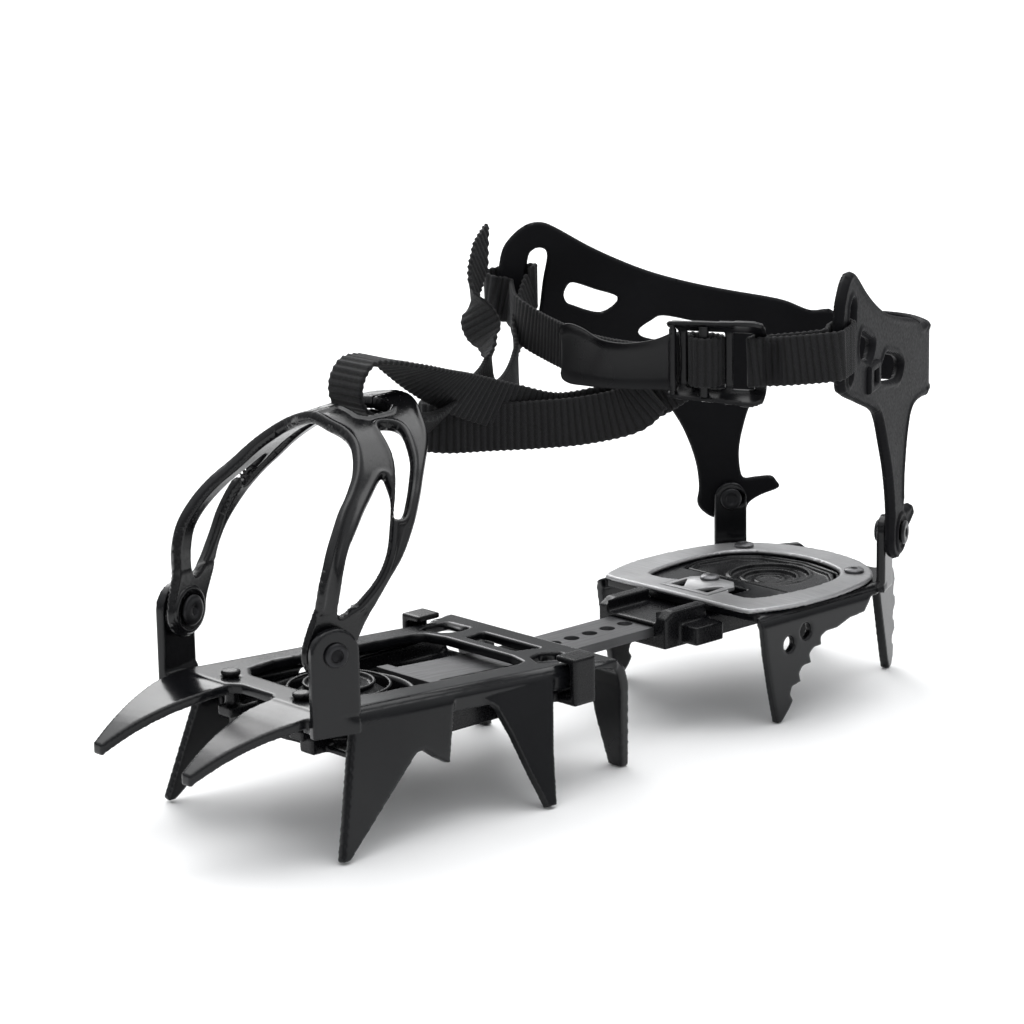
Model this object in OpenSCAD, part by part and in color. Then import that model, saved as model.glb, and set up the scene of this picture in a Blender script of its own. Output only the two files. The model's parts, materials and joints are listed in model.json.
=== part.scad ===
// Twelve-point strap-on crampon: toe cage, front section, extension bar,
// heel section, heel harness and webbing. Toe at -Y, heel at +Y, tips on z = 0.
// The buckle is on the wearer's left, at +X.

/* [Steel plates] */
// Thickness of the pressed steel front and heel sections, mm
plate = 3.0; // [2.6:0.1:3.2]
// Height of the front plate's top face over the front cross-bar, mm
front_height = 42.2; // [41.8:0.1:43.0]
// Downward slope of the front plate toward the heel, degrees
front_pitch = 3.2; // [3.0:0.1:3.4]
// Height of the heel section's grey rim plate, mm
heel_height = 38.0; // [37.6:0.1:38.6]
// Thickness of the grey rim plate, mm
rim_plate = 1.5; // [1.0:0.1:1.8]

/* [Points] */
// Half the distance between the tips of the second pair, mm
pair2_reach = 42.0; // [40:0.5:44]
// Half the distance between the tips of the third pair, mm
pair3_reach = 48.2; // [46:0.2:50]
// Diameter of the lightening holes in the front heel points, mm
point_hole = 5.0; // [4:0.5:6]

/* [Extension bar] */
// Width of the bar, mm
bar_width = 19.5; // [18:0.5:20.5]
// Height of the bar's top face, mm
bar_top = 32.0; // [31.8:0.1:32.2]
// Distance from one adjustment hole to the next, mm
hole_pitch = 7.8; // [7.4:0.1:8.2]
// Diameter of each adjustment hole, mm
bar_hole = 5.0; // [4.6:0.1:5.4]

/* [Moulded parts] */
// Thickness of the toe cage's limbs, mm
cage_wall = 3.2; // [2.6:0.1:3.4]
// Turn of the toe posts about the vertical, degrees
cage_turn = 15; // [13:0.5:16]
// Thickness of the heel harness, mm
harness_wall = 3.0; // [2.4:0.1:3.2]
// Splay of the harness wing on the buckle side, degrees
splay_left = 27; // [26:0.5:29]
// Splay of the other harness wing, degrees
splay_right = 38; // [37:0.5:39]

/* [Fittings] */
// Shank radius of the rivets, mm
rivet_r = 2.2; // [2.0:0.05:2.4]
// Radial clearance of every running fit, mm
running = 0.06; // [0.03:0.01:0.1]
// Gap between a fixed post and the limb that turns on it, mm
post_gap = 0.9; // [0.9:0.05:1.1]

/* [Webbing] */
// Width of the strap, mm
strap_width = 15; // [14:0.5:16]
// Thickness of the strap, mm
strap_thick = 1.4; // [1.2:0.1:1.6]

/* [Hidden] */
$fn = 64;
mid_x = 6.0;
mid_y = 123.4;
eps = 0.01;
front_y = 8.3;
toe_pin = [34.6, 4.4, 60.3];
heel_pin = [36.2, 240.2, 52.8];
toe_post_w = 15;
heel_post_w = 11;
bar_front = 62;
bar_bend = 104;
bar_rear = 236;
first_hole = 115;
hole_count = 15;
rail_out = 35.5;
rail_in = 24;
rim_bottom = heel_height - rim_plate;
frame_top = rim_bottom - 0.2;
frame_bottom = frame_top - plate;
bar_bottom = bar_top - 3;
blade2_lean = atan((pair2_reach - rail_out) / 37.5);
blade3_lean = atan((pair3_reach - rail_out - 0.5) / 34);
buckle_pos = [44, 153, 123.2];
buckle_turn = 28;
apex_r = 20;
band_flat = 30;
band_top = 62.5;
band_low = 39;

module place() translate([mid_x, -mid_y, 0]) children();
module both() { children(); mirror([1, 0, 0]) children(); }

// Frame of the sloping front plate: x across, y along the plate, z up from its top face.
module on_front() translate([0, front_y, front_height]) rotate([-front_pitch, 0, 0]) children();

// A profile drawn in (y, z), thickened toward +x from x0.
module side_profile(x0, t) translate([x0, 0, 0]) rotate([90, 0, 90]) linear_extrude(t) children();

// A profile drawn in (x, z), extruded along y from y0 to y0 + len.
module front_profile(y0, len) translate([0, y0 + len, 0]) rotate([90, 0, 0]) linear_extrude(len) children();

// Frame of the toe post and cage limb: origin on the rivet, x outward, y rearward along the face.
module at_toe_pin() translate(toe_pin) rotate([0, 0, -cage_turn]) children();

// Frame of a heel wing: origin on the rivet, x outward, y toward the rear apex.
module at_heel_pin(splay) translate(heel_pin) rotate([0, 0, splay]) children();

module pin_bore(at, r) translate(at) rotate([0, 90, 0]) cylinder(r = r, h = 40, center = true);

// ---- ribbon swept along a smooth path -------------------------------------
function cr(a, b, c, d, t) =
  0.5 * (2 * b + (c - a) * t + (2 * a - 5 * b + 4 * c - d) * t * t + (3 * b - 3 * c + d - a) * t * t * t);
function smooth(p, n) = concat(
  [for (i = [0 : len(p) - 2]) for (k = [0 : n - 1])
    cr(p[max(i - 1, 0)], p[i], p[i + 1], p[min(i + 2, len(p) - 1)], k / n)],
  [p[len(p) - 1]]);
function unit(v) = v / norm(v);

module ribbon(pts, wide, width, thick, steps = 6) {
  p = smooth(pts, steps);
  w = smooth(wide, steps);
  n = len(p);
  tang = [for (i = [0 : n - 1]) unit(p[min(i + 1, n - 1)] - p[max(i - 1, 0)])];
  side = [for (i = [0 : n - 1]) unit(w[i] - (w[i] * tang[i]) * tang[i])];
  nrm = [for (i = [0 : n - 1]) cross(tang[i], side[i])];
  verts = [for (i = [0 : n - 1]) for (c = [[-1, -1], [1, -1], [1, 1], [-1, 1]])
    p[i] + side[i] * c[0] * width / 2 + nrm[i] * c[1] * thick / 2];
  skin = [for (i = [0 : n - 2]) for (k = [0 : 3]) for (h = [0, 1])
    h == 0
      ? [4 * i + k, 4 * i + 4 + k, 4 * i + (k + 1) % 4]
      : [4 * i + (k + 1) % 4, 4 * i + 4 + k, 4 * i + 4 + (k + 1) % 4]];
  ends = [[0, 1, 2], [0, 2, 3], [4 * n - 2, 4 * n - 3, 4 * n - 4], [4 * n - 1, 4 * n - 2, 4 * n - 4]];
  polyhedron(points = verts, faces = concat(skin, ends), convexity = 10);
}

// ---- front section ---------------------------------------------------------
module front_plan_half() polygon([
  [-0.01, -3.5], [7, -3.5], [11, -6.5], [30, -6.5], [33, -3], [35.5, 6], [35.5, 99],
  [38, 105.5], [-0.01, 105.5]]);

module front_window_half() {
  polygon([[-0.01, 6], [14, 6], [21, 11], [rail_in, 22], [rail_in, 77], [22, 81], [15, 83], [-0.01, 83]]);
  // slot between the two cross strips, and the small corner openings
  polygon([[-0.01, 88], [11, 88], [13, 97], [-0.01, 97]]);
  polygon([[20, 86], [27, 83], [30, 88], [29.5, 97], [20, 97.5], [18, 92]]);
}

module front_plate() on_front() translate([0, 0, -plate]) linear_extrude(plate) difference() {
  union() { front_plan_half(); mirror([1, 0]) front_plan_half(); }
  front_window_half();
  mirror([1, 0]) front_window_half();
  for (s = [-1, 1]) translate([s * 16.4, 0]) circle(r = 2.4);
}

// One curved front point: an arc in side view cut by a tapering plan.
module front_point() intersection() {
  translate([0, 4, front_height - 82]) rotate([90, 0, 90]) linear_extrude(40) difference() {
    circle(r = 82, $fn = 240);
    circle(r = 82 - plate, $fn = 240);
    translate([0.5, -130]) square([120, 260]);
  }
  linear_extrude(60) polygon([[9.5, 5], [33, 5], [31.5, -8], [28, -20], [22.6, -37.5], [18.6, -37.5], [14.5, -22], [11, -8]]);
}

// Second pair: large triangle with a small rear barb.
module blade2() translate([rail_out - plate, 0, 38]) rotate([0, -blade2_lean, 0])
  side_profile(0, plate) polygon([[13.5, 3.4], [50, 0.6], [49, -4], [44.6, -19.4], [40, -16.6], [35.8, -13.4],
    [33, -13.6], [3.4, -38.4], [0.6, -38.4], [10.5, -3]]);

// Third pair: triangle with a nearly upright rear edge.
module blade3() translate([rail_out - plate, 0, 34]) rotate([0, -blade3_lean, 0])
  side_profile(0, plate) polygon([[60, 4.2], [90, 1.6], [88.5, -3], [82.6, -21], [78.6, -36.3], [75.2, -36.3],
    [71.6, -24], [68.8, -13], [65.6, -4], [61, -0.6]]);

// Fourth pair: the rail ends bent down behind the plate.
module point4() intersection() {
  side_profile(18, 24)
    polygon([[104, 35.9], [111, 35.7], [114.4, 35.2], [117, 33.2], [118.4, 29], [121.6, 0],
      [118.4, 0], [115.3, 27], [114.2, 31.2], [112, 33.6], [104, 34.6]]);
  front_profile(95, 40) polygon([[22.5, 45], [37.4, 45], [37.4, 26], [34, 0], [28, 0], [24.5, 14], [22.5, 27]]);
}

module toe_post() difference() {
  at_toe_pin() translate([post_gap / 2, 0, 0]) rotate([90, 0, 90]) linear_extrude(plate) union() {
    circle(r = toe_post_w / 2);
    translate([-toe_post_w / 2, -24]) square([toe_post_w, 24]);
  }
  pin_bore(toe_pin, rivet_r + running);
}

module front_frame() color("#2b2b2e") place() {
  front_plate();
  both() {
    front_point();
    toe_post();
    blade2();
    blade3();
    point4();
    // rolled edge of the rail between the side points
    on_front() translate([rail_out - plate + 0.3, 3, -7]) cube([plate - 0.5, 86, 6]);
    // foot of the toe post, joining it to the plate's edge
    on_front() translate([29.3, -10.6, -5.6]) cube([7.2, 15.4, 4.6]);
  }
}

module front_antiball() color("#1c1c1e") place() {
  difference() {
    union() {
      // tray under the rails
      translate([-31, 14, 25.5]) cube([62, 90, 2]);
      both() translate([29, 14, 25.5]) cube([2, 90, 7]);
      translate([-31, 102, 25.5]) cube([62, 2, 3.0]);
      // flexible dome on its ring
      translate([0, 35.5, 26]) cylinder(r = 23.5, h = 8.2);
      both() {
        // pegs up through the front cross-bar
        translate([16.4, front_y, 30.5]) cylinder(r = 2.1, h = 12.6);
        translate([16.4, front_y, 42.7]) cylinder(r = 3.0, h = 1.6);
        translate([13.2, front_y - 3, 30.5]) cube([6.4, 9, 3.2]);
        translate([13.2, 9, 25.5]) cube([6.4, 8, 8.2]);
        // lugs that hook round the rails
        translate([29, 94, 25.5]) cube([10.4, 9, 2.5]);
        translate([36.9, 94, 25.5]) cube([2.5, 9, 14.6]);
        translate([31, 94, 38.1]) cube([8.4, 9, 2.0]);
      }
    }
    translate([0, 35.5, 27.5]) cylinder(r = 21, h = 10);
  }
  translate([0, 35.5, 27]) intersection() {
    translate([0, 0, -12]) difference() {
      sphere(r = 24, $fn = 96);
      sphere(r = 22.4, $fn = 96);
    }
    cylinder(r = 21.5, h = 20);
  }
}

// Side view of the bar: parallel to the front plate, then level under the heel.
function bar_side() = [[bar_front, bar_top + 2.35], [bar_bend, bar_top], [bar_rear, bar_top],
  [bar_rear, bar_bottom], [bar_bend, bar_bottom], [bar_front, bar_bottom + 2.35]];

module extension_bar() color("#77777a") place() difference() {
  union() {
    side_profile(-bar_width / 2, bar_width) polygon(bar_side());
    intersection() {
      side_profile(-14, 28) polygon(bar_side());
      translate([-20, bar_front - 1, 0]) cube([40, 5.5, 60]);
    }
  }
  for (i = [0 : hole_count - 1])
    translate([0, first_hole + i * hole_pitch, bar_bottom - 1]) cylinder(r = bar_hole / 2, h = 5);
}

module toe_rivet() {
  outer = post_gap / 2 + plate + 0.05;
  inner = post_gap / 2 + cage_wall + 0.7;
  intersection() {
    translate(toe_pin) rotate([0, 90, 0]) cylinder(r = rivet_r, h = 30, center = true);
    at_toe_pin() translate([-inner - 1, -9, -9]) cube([inner + outer + 1.9, 18, 18]);
  }
  at_toe_pin() rotate([0, 90, 0]) {
    translate([0, 0, outer]) cylinder(r = 3.6, h = 1.3);
    translate([0, 0, -inner - 1.3]) cylinder(r = 4.6, h = 1.3);
  }
}
module toe_rivet_left() color("#8a8a8d") place() toe_rivet();
module toe_rivet_right() color("#8a8a8d") place() mirror([1, 0, 0]) toe_rivet();

// Thin spacer between post and limb.
module toe_washer() difference() {
  at_toe_pin() rotate([0, 90, 0]) translate([0, 0, post_gap / 2 - 0.4]) cylinder(r = 4.2, h = 0.38);
  pin_bore(toe_pin, rivet_r + running);
}
module toe_washer_left() color("#3a3a3d") place() toe_washer();
module toe_washer_right() color("#3a3a3d") place() mirror([1, 0, 0]) toe_washer();

// ---- toe cage ----------------------------------------------------------------
// Arch of the limb in its own frame (x, z), measured from the rivet.
function arch(o) = [[o, -9], [o, 8], [0.5 + o, 12], [1 + o, 18], [0.4 + o, 25], [-2.5 + o * 0.9, 32.4 + o * 0.4],
  [-6.4 + o * 0.8, 38.4 + o * 0.6], [-10.5 + o * 0.65, 43.1 + o * 0.75], [-13.6 + o * 0.6, 46.7 + o * 0.8],
  [-17 + o * 0.55, 49.9 + o * 0.85], [-20.6 + o * 0.5, 52.6 + o * 0.9], [-23.6 + o * 0.4, 54.5 + o * 0.93],
  [-27.2 + o * 0.3, 56.3 + o * 0.96], [-32.6 + o * 0.15, 58.4 + o], [-38, 60 + o], [-47, 61.2 + o]];
function flip(p) = [for (i = [len(p) - 1 : -1 : 0]) p[i]];

module limb_shell() translate([0, 60, 0]) rotate([90, 0, 0]) linear_extrude(80)
  polygon(concat(arch(-post_gap / 2), flip(arch(-post_gap / 2 - cage_wall))));

// Side view of a limb in (y, z) from the rivet.
module limb_side() difference() {
  polygon([[-8.1, -2], [-7.4, 3], [-5.6, 8], [-3.9, 12], [-2.6, 19.2], [0, 27.1], [3.1, 32.7], [7.4, 38.5],
    [12.2, 43.1], [15, 46], [15, 70], [64, 70], [38.6, 47.1], [32.8, 38.4], [28.8, 32.2], [23.9, 24.7], [18.6, 17.6],
    [14.7, 11.5], [11.4, 6.2], [9, 1.4], [8.2, -3], [5.4, -6.6], [0, -8.4], [-5.4, -6.6]]);
  polygon([[3.1, 10.8], [4.9, 21.5], [7.4, 28], [10.9, 32.8], [16, 38.6], [23.2, 44.8], [24.2, 44], [24, 39.3],
    [21.6, 33.2], [19.3, 26.8], [16.1, 20.3], [10.8, 14], [5.6, 10.2]]);
  polygon([[23.6, 35.8], [25.9, 40.2], [28.2, 44.9], [29.9, 50.2], [30.4, 56], [36, 55.4], [34.6, 49.3],
    [32.4, 44.7], [28.6, 38.8], [26.4, 35.6], [24.8, 34.8]]);
}

// Plan of the crown over the toes, one half, in (x, y).
module crown_plan() difference() {
  polygon([[-1, 28], [6.5, 28.3], [12.3, 29.4], [18.1, 28.2], [24.1, 23.6], [34, 11], [60, 10], [60, 60], [32, 46],
    [24.6, 51.8], [17, 56.6], [10.6, 60.4], [5, 62.8], [-1, 63.4]]);
  polygon([[25.6, 43.6], [22.1, 46.4], [20.2, 46.6], [24.6, 40.2], [34, 28], [44, 21], [46, 31]]);
}

module cage_half() {
  intersection() {
    at_toe_pin() limb_shell();
    at_toe_pin() rotate([90, 0, 90]) translate([0, 0, -50]) linear_extrude(60) limb_side();
    translate([-eps, -30, 40]) cube([80, 120, 66.5]);
  }
  intersection() {
    at_toe_pin() limb_shell();
    at_toe_pin() rotate([90, 0, 90]) translate([0, 0, -50]) linear_extrude(60) limb_side();
    translate([0, 0, 100]) linear_extrude(30) crown_plan();
    translate([-eps, -30, 106.4]) cube([80, 120, 40]);
  }
}

module toe_cage() color("#232326") place() difference() {
  both() cage_half();
  translate([0, 40, 100]) linear_extrude(40) polygon([[-8, 0], [8, 0], [9.4, 1.5], [9.8, 8.5], [8, 11], [-8, 11], [-9.8, 8.5], [-9.4, 1.5]]);
  both() pin_bore(toe_pin, rivet_r + running);
}

// ---- heel section --------------------------------------------------------------
module rim_outline() polygon([
  [-30.5, 176.5], [30.5, 176.5], [33.8, 178.5], [38, 194], [38.6, 208], [37.6, 219], [35, 230], [31.5, 237],
  [24.5, 243.5], [14, 248.5], [0, 250.5], [-14, 248.5], [-24.5, 243.5], [-31.5, 237], [-35, 230], [-37.6, 219],
  [-38.6, 208], [-38, 194], [-33.8, 178.5]]);
module rim_opening() polygon([
  [-20, 187.5], [-11, 188.5], [-8, 197.5], [8, 197.5], [11, 188.5], [20, 187.5], [24.5, 191], [27, 205], [27, 218],
  [24, 228.5], [16, 236], [0, 239.5], [-16, 236], [-24, 228.5], [-27, 218], [-27, 205], [-24.5, 191]]);

module heel_plate() color("#b4b4b6") place() translate([0, 0, rim_bottom]) linear_extrude(rim_plate) difference() {
  rim_outline();
  rim_opening();
  // room for the lock tongue and its two windows
  translate([-10.3, 180.9]) square([20.6, 17.7]);
  for (s = [-1, 1]) translate([s * 24.8, 235.4]) circle(r = 1.9);
}

module heel_front_blade() side_profile(35, plate) difference() {
  polygon([[177.6, frame_top - eps], [179.6, 23], [182, 11], [184.6, 0], [186.6, 0], [190.3, 3.8], [192, 6.2],
    [190.6, 8.4], [191.4, 10.8], [195.6, 11.6], [194.8, 14.6], [196.6, 16.6], [200.6, 16.8], [199.6, 20],
    [201.6, 21.6], [205.4, 21.8], [205, 24.6], [207.6, 25.8], [213, 26], [219, 28], [226, 28.6], [232, frame_top - eps]]);
  translate([190, 25.2]) circle(r = point_hole / 2);
  translate([197.8, 28.0]) circle(r = point_hole / 2);
}

module heel_rear_blade() translate([18, 257.6, 0]) rotate([0, 0, 25]) rotate([90, 0, 90]) linear_extrude(plate)
  polygon([[-17, frame_top - eps], [-4.6, 4], [-2.4, 0], [0.8, 0], [2.4, 2.6], [3.4, 6.6], [1.4, 8.2], [1.8, 10.2],
    [4.6, 12], [4, 15], [2.2, 16.4], [2.8, 18.6], [5.2, 20.4], [4.6, 23.4], [2.6, 24.8], [3.2, 27], [4.6, 29.4],
    [3, 33], [-1, frame_top - eps]]);

module heel_post(splay) difference() {
  at_heel_pin(splay) translate([-post_gap / 2 - plate, 0, 0]) rotate([90, 0, 90]) linear_extrude(plate) union() {
    circle(r = heel_post_w / 2);
    translate([-heel_post_w / 2, frame_bottom - heel_pin[2]]) square([heel_post_w, heel_pin[2] - frame_bottom]);
  }
  pin_bore(heel_pin, rivet_r + running);
}

module heel_frame() color("#2b2b2e") place() {
  difference() {
    translate([0, 0, frame_bottom]) linear_extrude(plate) difference() {
      union() {
        polygon([[-33, 179], [33, 179], [37.6, 180], [38, 232], [32, 243], [27, 246], [26, 249.5], [14, 250], [12, 247.6], [-12, 247.6],
          [-14, 250], [-26, 249.5], [-27, 246], [-32, 243], [-38, 232], [-37.6, 180]]);
      }
      polygon([[-24, 206], [24, 206], [27, 214], [24.5, 227], [17, 235], [0, 238.6], [-17, 235], [-24.5, 227], [-27, 214]]);
      for (s = [-1, 1]) translate([s * 24.8, 235.4]) circle(r = 1.9);
      translate([-10.5, 181]) square([21, 19]);
    }
  }
  both() {
    heel_front_blade();
    heel_rear_blade();
  }
  heel_post(splay_left);
  mirror([1, 0, 0]) heel_post(splay_right);
}

// Flexible bowl that fills the frame's opening, over the bar.
module bowl_outline(g) polygon([
  [g - 23.4, 206.6 + g], [23.4 - g, 206.6 + g], [26.4 - g, 214], [23.9 - g, 226.6], [16.7 - g, 234.2 - g],
  [0, 237.8 - g], [g - 16.7, 234.2 - g], [g - 23.9, 226.6], [g - 26.4, 214]]);
module heel_antiball() color("#1c1c1e") place() difference() {
  union() {
    translate([-20.8, 203, bar_top + 0.4]) cube([41.6, 36.5, 0.7]);
    translate([0, 0, bar_top + 0.4]) linear_extrude(frame_top - 0.1 - bar_top - 0.4) bowl_outline(0);
  }
  translate([0, 0, bar_top + 3.2]) linear_extrude(9) bowl_outline(1.3);
  translate([0, 221.5, bar_top + 2.3]) cylinder(r = 12.8, h = 9);
  translate([0, 221.5, bar_top + 1.4]) cylinder(r = 8.6, h = 9);
}

module heel_screw() {
  translate([24.8, 235.4, frame_bottom - 1.6]) cylinder(r = 1.8, h = plate + rim_plate + 2);
  translate([24.8, 235.4, heel_height + 0.05]) cylinder(r = 3.3, h = 1.3);
  translate([24.8, 235.4, frame_bottom - 1.85]) cylinder(r = 3.0, h = 1.8);
}
module heel_screw_left() color("#9a9a9c") place() heel_screw();
module heel_screw_right() color("#9a9a9c") place() mirror([1, 0, 0]) heel_screw();

// Moulded guide that the bar slides through.
module adjuster_housing() color("#1c1c1e") place() difference() {
  union() {
    translate([-15, 157, 25.4]) cube([30, 44, frame_bottom - 0.15 - 25.4]);
    translate([-15, 157, 25.4]) cube([30, 19, 12]);
    translate([-22, 164, 26.5]) cube([44, 12.5, 6]);
  }
  translate([-bar_width / 2 - 0.2, 150, bar_bottom - 0.2]) cube([bar_width + 0.4, 60, 3.4]);
  translate([-10.6, 156, bar_top + 1.5]) cube([21.2, 60, 20]);
  translate([0, first_hole + 10 * hole_pitch, 20]) cylinder(r = 3.2, h = 20);
  both() translate([11, 157 - eps, 35.2]) rotate([30, 0, 0]) cube([20, 20, 20]);
}

// Springy tongue that carries the locking pin.
module lock_tongue() color("#a6a6a9") place() difference() {
  translate([0, 0, rim_bottom + 0.2]) union() {
    side_tongue();
  }
  for (s = [-1, 1]) translate([s * 5.4, 186.6, 30]) linear_extrude(20)
    polygon([[-3, -3.4], [3, -3.4], [s * 3, 5]]);
  translate([0, first_hole + 10 * hole_pitch, 20]) cylinder(r = 2.0, h = 40);
}
module side_tongue() difference() {
  translate([-9.9, 181.3, 0]) cube([19.8, 16.9, 1.4]);
  both() translate([9.9, 198.4, -1]) rotate([0, 0, 45]) translate([-3, -3, 0]) cube([6, 6, 4]);
}
module lock_pin() color("#9a9a9c") place() translate([0, first_hole + 10 * hole_pitch, 0]) {
  translate([0, 0, bar_top + 0.35]) cylinder(r = 1.95, h = 8.6);
  translate([0, 0, bar_top + 0.35]) cylinder(r = 2.2, h = 3.6);
  translate([0, 0, rim_bottom + 1.65]) cylinder(r = 3.1, h = 1.4);
}

// ---- heel harness ----------------------------------------------------------------
// Side view of one wing in (y, z) from the rivet; y is toward the apex.
module wing_side() difference() {
  polygon([[-77.3, 77], [-76.3, 86], [-73.3, 91], [-68.3, 95], [-63.3, 96], [-58.3, 94.2], [-47.3, 87.7],
    [-37.3, 82.7], [-27.3, 78.5], [-17.3, 75.3], [-7.3, 72.7], [2.7, 70.5], [12.7, 68.5], [20, 66.6], [band_flat, band_top],
    [80, band_top], [80, band_low], [band_flat, band_low], [18.7, band_low], [11.7, 37], [7.5, 31], [5.2, 24], [3.8, 17],
    [3.8, 11], [5, 6.2], [14.4, 6.4], [16.4, 4.6], [17.3, 2], [11, -0.4], [7, -3], [5, -6.8], [-1, -8.2],
    [-5, -7.8], [-8.8, -5.4], [-10.8, -2], [-10.2, 3.6], [-11.4, 12.6], [-15.4, 23.6], [-21.4, 33.6], [-27.4, 42.6],
    [-34, 47], [-52, 53], [-70, 59], [-75.3, 63]]);
  // strap slot
  polygon([[-69, 64.4], [-65.6, 63.6], [-64, 66], [-62.6, 76], [-61, 84.6], [-62.5, 87.1], [-65.6, 86.6], [-67.6, 82.6]]);
  // long slot with one slanted end
  polygon([[-54.8, 68.9], [-55.5, 71.3], [-54.3, 74.1], [-52.1, 75.1], [-37.3, 69.5], [-43.3, 64.9], [-52.9, 67.7]]);
  // window in the band
  polygon([[-30.3, 58.3], [-22.3, 62.9], [-5.3, 58.9], [-0.3, 55.7], [-5.3, 52.2], [-28.3, 55.7]]);
}
module wing_shell(len) rotate([90, 0, 90]) translate([0, 0, post_gap / 2]) linear_extrude(harness_wall) intersection() {
  wing_side();
  translate([-100, -20]) square([100 + len, 140]);
}

// The two wings run straight and meet in a round apex behind the heel.
wing_off = post_gap / 2 + harness_wall / 2;
wing_l = [heel_pin[0] + wing_off * cos(splay_left), heel_pin[1] + wing_off * sin(splay_left)];
wing_r = [-heel_pin[0] - wing_off * cos(splay_right), heel_pin[1] + wing_off * sin(splay_right)];
rhs_x = wing_l[0] - wing_r[0] - apex_r * (cos(splay_left) + cos(splay_right));
rhs_y = wing_r[1] - wing_l[1] + apex_r * (sin(splay_left) - sin(splay_right));
wing_det = sin(splay_left) * cos(splay_right) + sin(splay_right) * cos(splay_left);
len_l = (rhs_x * cos(splay_right) + rhs_y * sin(splay_right)) / wing_det;
len_r = (rhs_x * cos(splay_left) - rhs_y * sin(splay_left)) / wing_det;
apex_c = [wing_l[0] - len_l * sin(splay_left) - apex_r * cos(splay_left),
  wing_l[1] + len_l * cos(splay_left) - apex_r * sin(splay_left)];

// The round apex; its ends reach a little way inside the wings.
module harness_apex() translate([apex_c[0], apex_c[1], heel_pin[2] + band_low + 0.05])
  linear_extrude(band_top - band_low - 0.1) intersection() {
    difference() {
      circle(r = apex_r + harness_wall / 2 - 0.06, $fn = 144);
      circle(r = apex_r - harness_wall / 2 + 0.06, $fn = 144);
    }
    polygon([[0, 0], 60 * [cos(splay_left - 3), sin(splay_left - 3)], 90 * [cos(75), sin(75)],
      90 * [cos(105), sin(105)], 60 * [-cos(splay_right - 3), sin(splay_right - 3)]]);
  }

module heel_harness() color("#1e1e20") place() {
  difference() {
    union() {
      at_heel_pin(splay_left) wing_shell(len_l);
      mirror([1, 0, 0]) at_heel_pin(splay_right) wing_shell(len_r);
      // rectangular boss outside each wing
      at_heel_pin(splay_left) wing_boss();
      mirror([1, 0, 0]) at_heel_pin(splay_right) wing_boss();
    }
    pin_bore(heel_pin, rivet_r + running);
    mirror([1, 0, 0]) pin_bore(heel_pin, rivet_r + running);
  }
  harness_apex();
}
module wing_boss() translate([post_gap / 2 + harness_wall - eps, -46, 54.6]) difference() {
  cube([1.6, 13, 9]);
  translate([-1, 4, 2.5]) cube([4, 5.5, 4]);
}

module heel_rivet(splay) {
  outer = post_gap / 2 + harness_wall + 0.6;
  inner = post_gap / 2 + plate + 0.05;
  intersection() {
    translate(heel_pin) rotate([0, 90, 0]) cylinder(r = rivet_r, h = 30, center = true);
    at_heel_pin(splay) translate([-inner - 0.9, -9, -9]) cube([inner + outer + 1.8, 18, 18]);
  }
  at_heel_pin(splay) rotate([0, 90, 0]) {
    translate([0, 0, outer]) cylinder(r = 3.9, h = 1.3);
    translate([0, 0, -inner - 1.3]) cylinder(r = 3.6, h = 1.3);
  }
}
module heel_rivet_left() color("#8a8a8d") place() heel_rivet(splay_left);
module heel_rivet_right() color("#8a8a8d") place() mirror([1, 0, 0]) heel_rivet(splay_right);

module heel_washer(splay) difference() {
  at_heel_pin(splay) rotate([0, 90, 0]) translate([0, 0, -post_gap / 2 + 0.02]) cylinder(r = 4.0, h = 0.38);
  pin_bore(heel_pin, rivet_r + running);
}
module heel_washer_left() color("#3a3a3d") place() heel_washer(splay_left);
module heel_washer_right() color("#3a3a3d") place() mirror([1, 0, 0]) heel_washer(splay_right);

// ---- buckle -------------------------------------------------------------------------
// Buckle frame: x along the strap toward the wing, y behind the face, z up.
module at_buckle() translate(buckle_pos) rotate([0, 0, buckle_turn]) children();

module buckle_frame() color("#19191b") place() at_buckle() difference() {
  union() {
    translate([-13.5, -0.6, -11.5]) cube([27, 1.2, 23]);
    for (s = [-1, 1]) translate([-16, -5.6, s * 11.5 - 0.6]) cube([29.5, 6.2, 1.2]);
  }
  translate([-9.5, -3, -8.6]) cube([9.4, 6, 17.2]);
  translate([3.4, -3, -8.6]) cube([6.6, 6, 17.2]);
}
module buckle_bar() color("#2b2b2e") place() at_buckle()
  translate([-4.6, -3.4, -10.8]) cylinder(r = 1.5, h = 21.6);
module buckle_tab() color("#303033") place() at_buckle() {
  // rolled pivot edge with its two pins
  translate([-14.6, -2.8, -9.5]) cylinder(r = 1.2, h = 19);
  translate([-14.6, -2.8, -10.8]) cylinder(r = 0.9, h = 21.6);
  translate([-50, -3.4, -9.5]) cube([35.6, 1.2, 19]);
  translate([-50, -6.6, 8.4]) cube([30, 3.4, 1.1]);
}

// ---- webbing ------------------------------------------------------------------------
up = [0, 0, 1];
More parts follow.
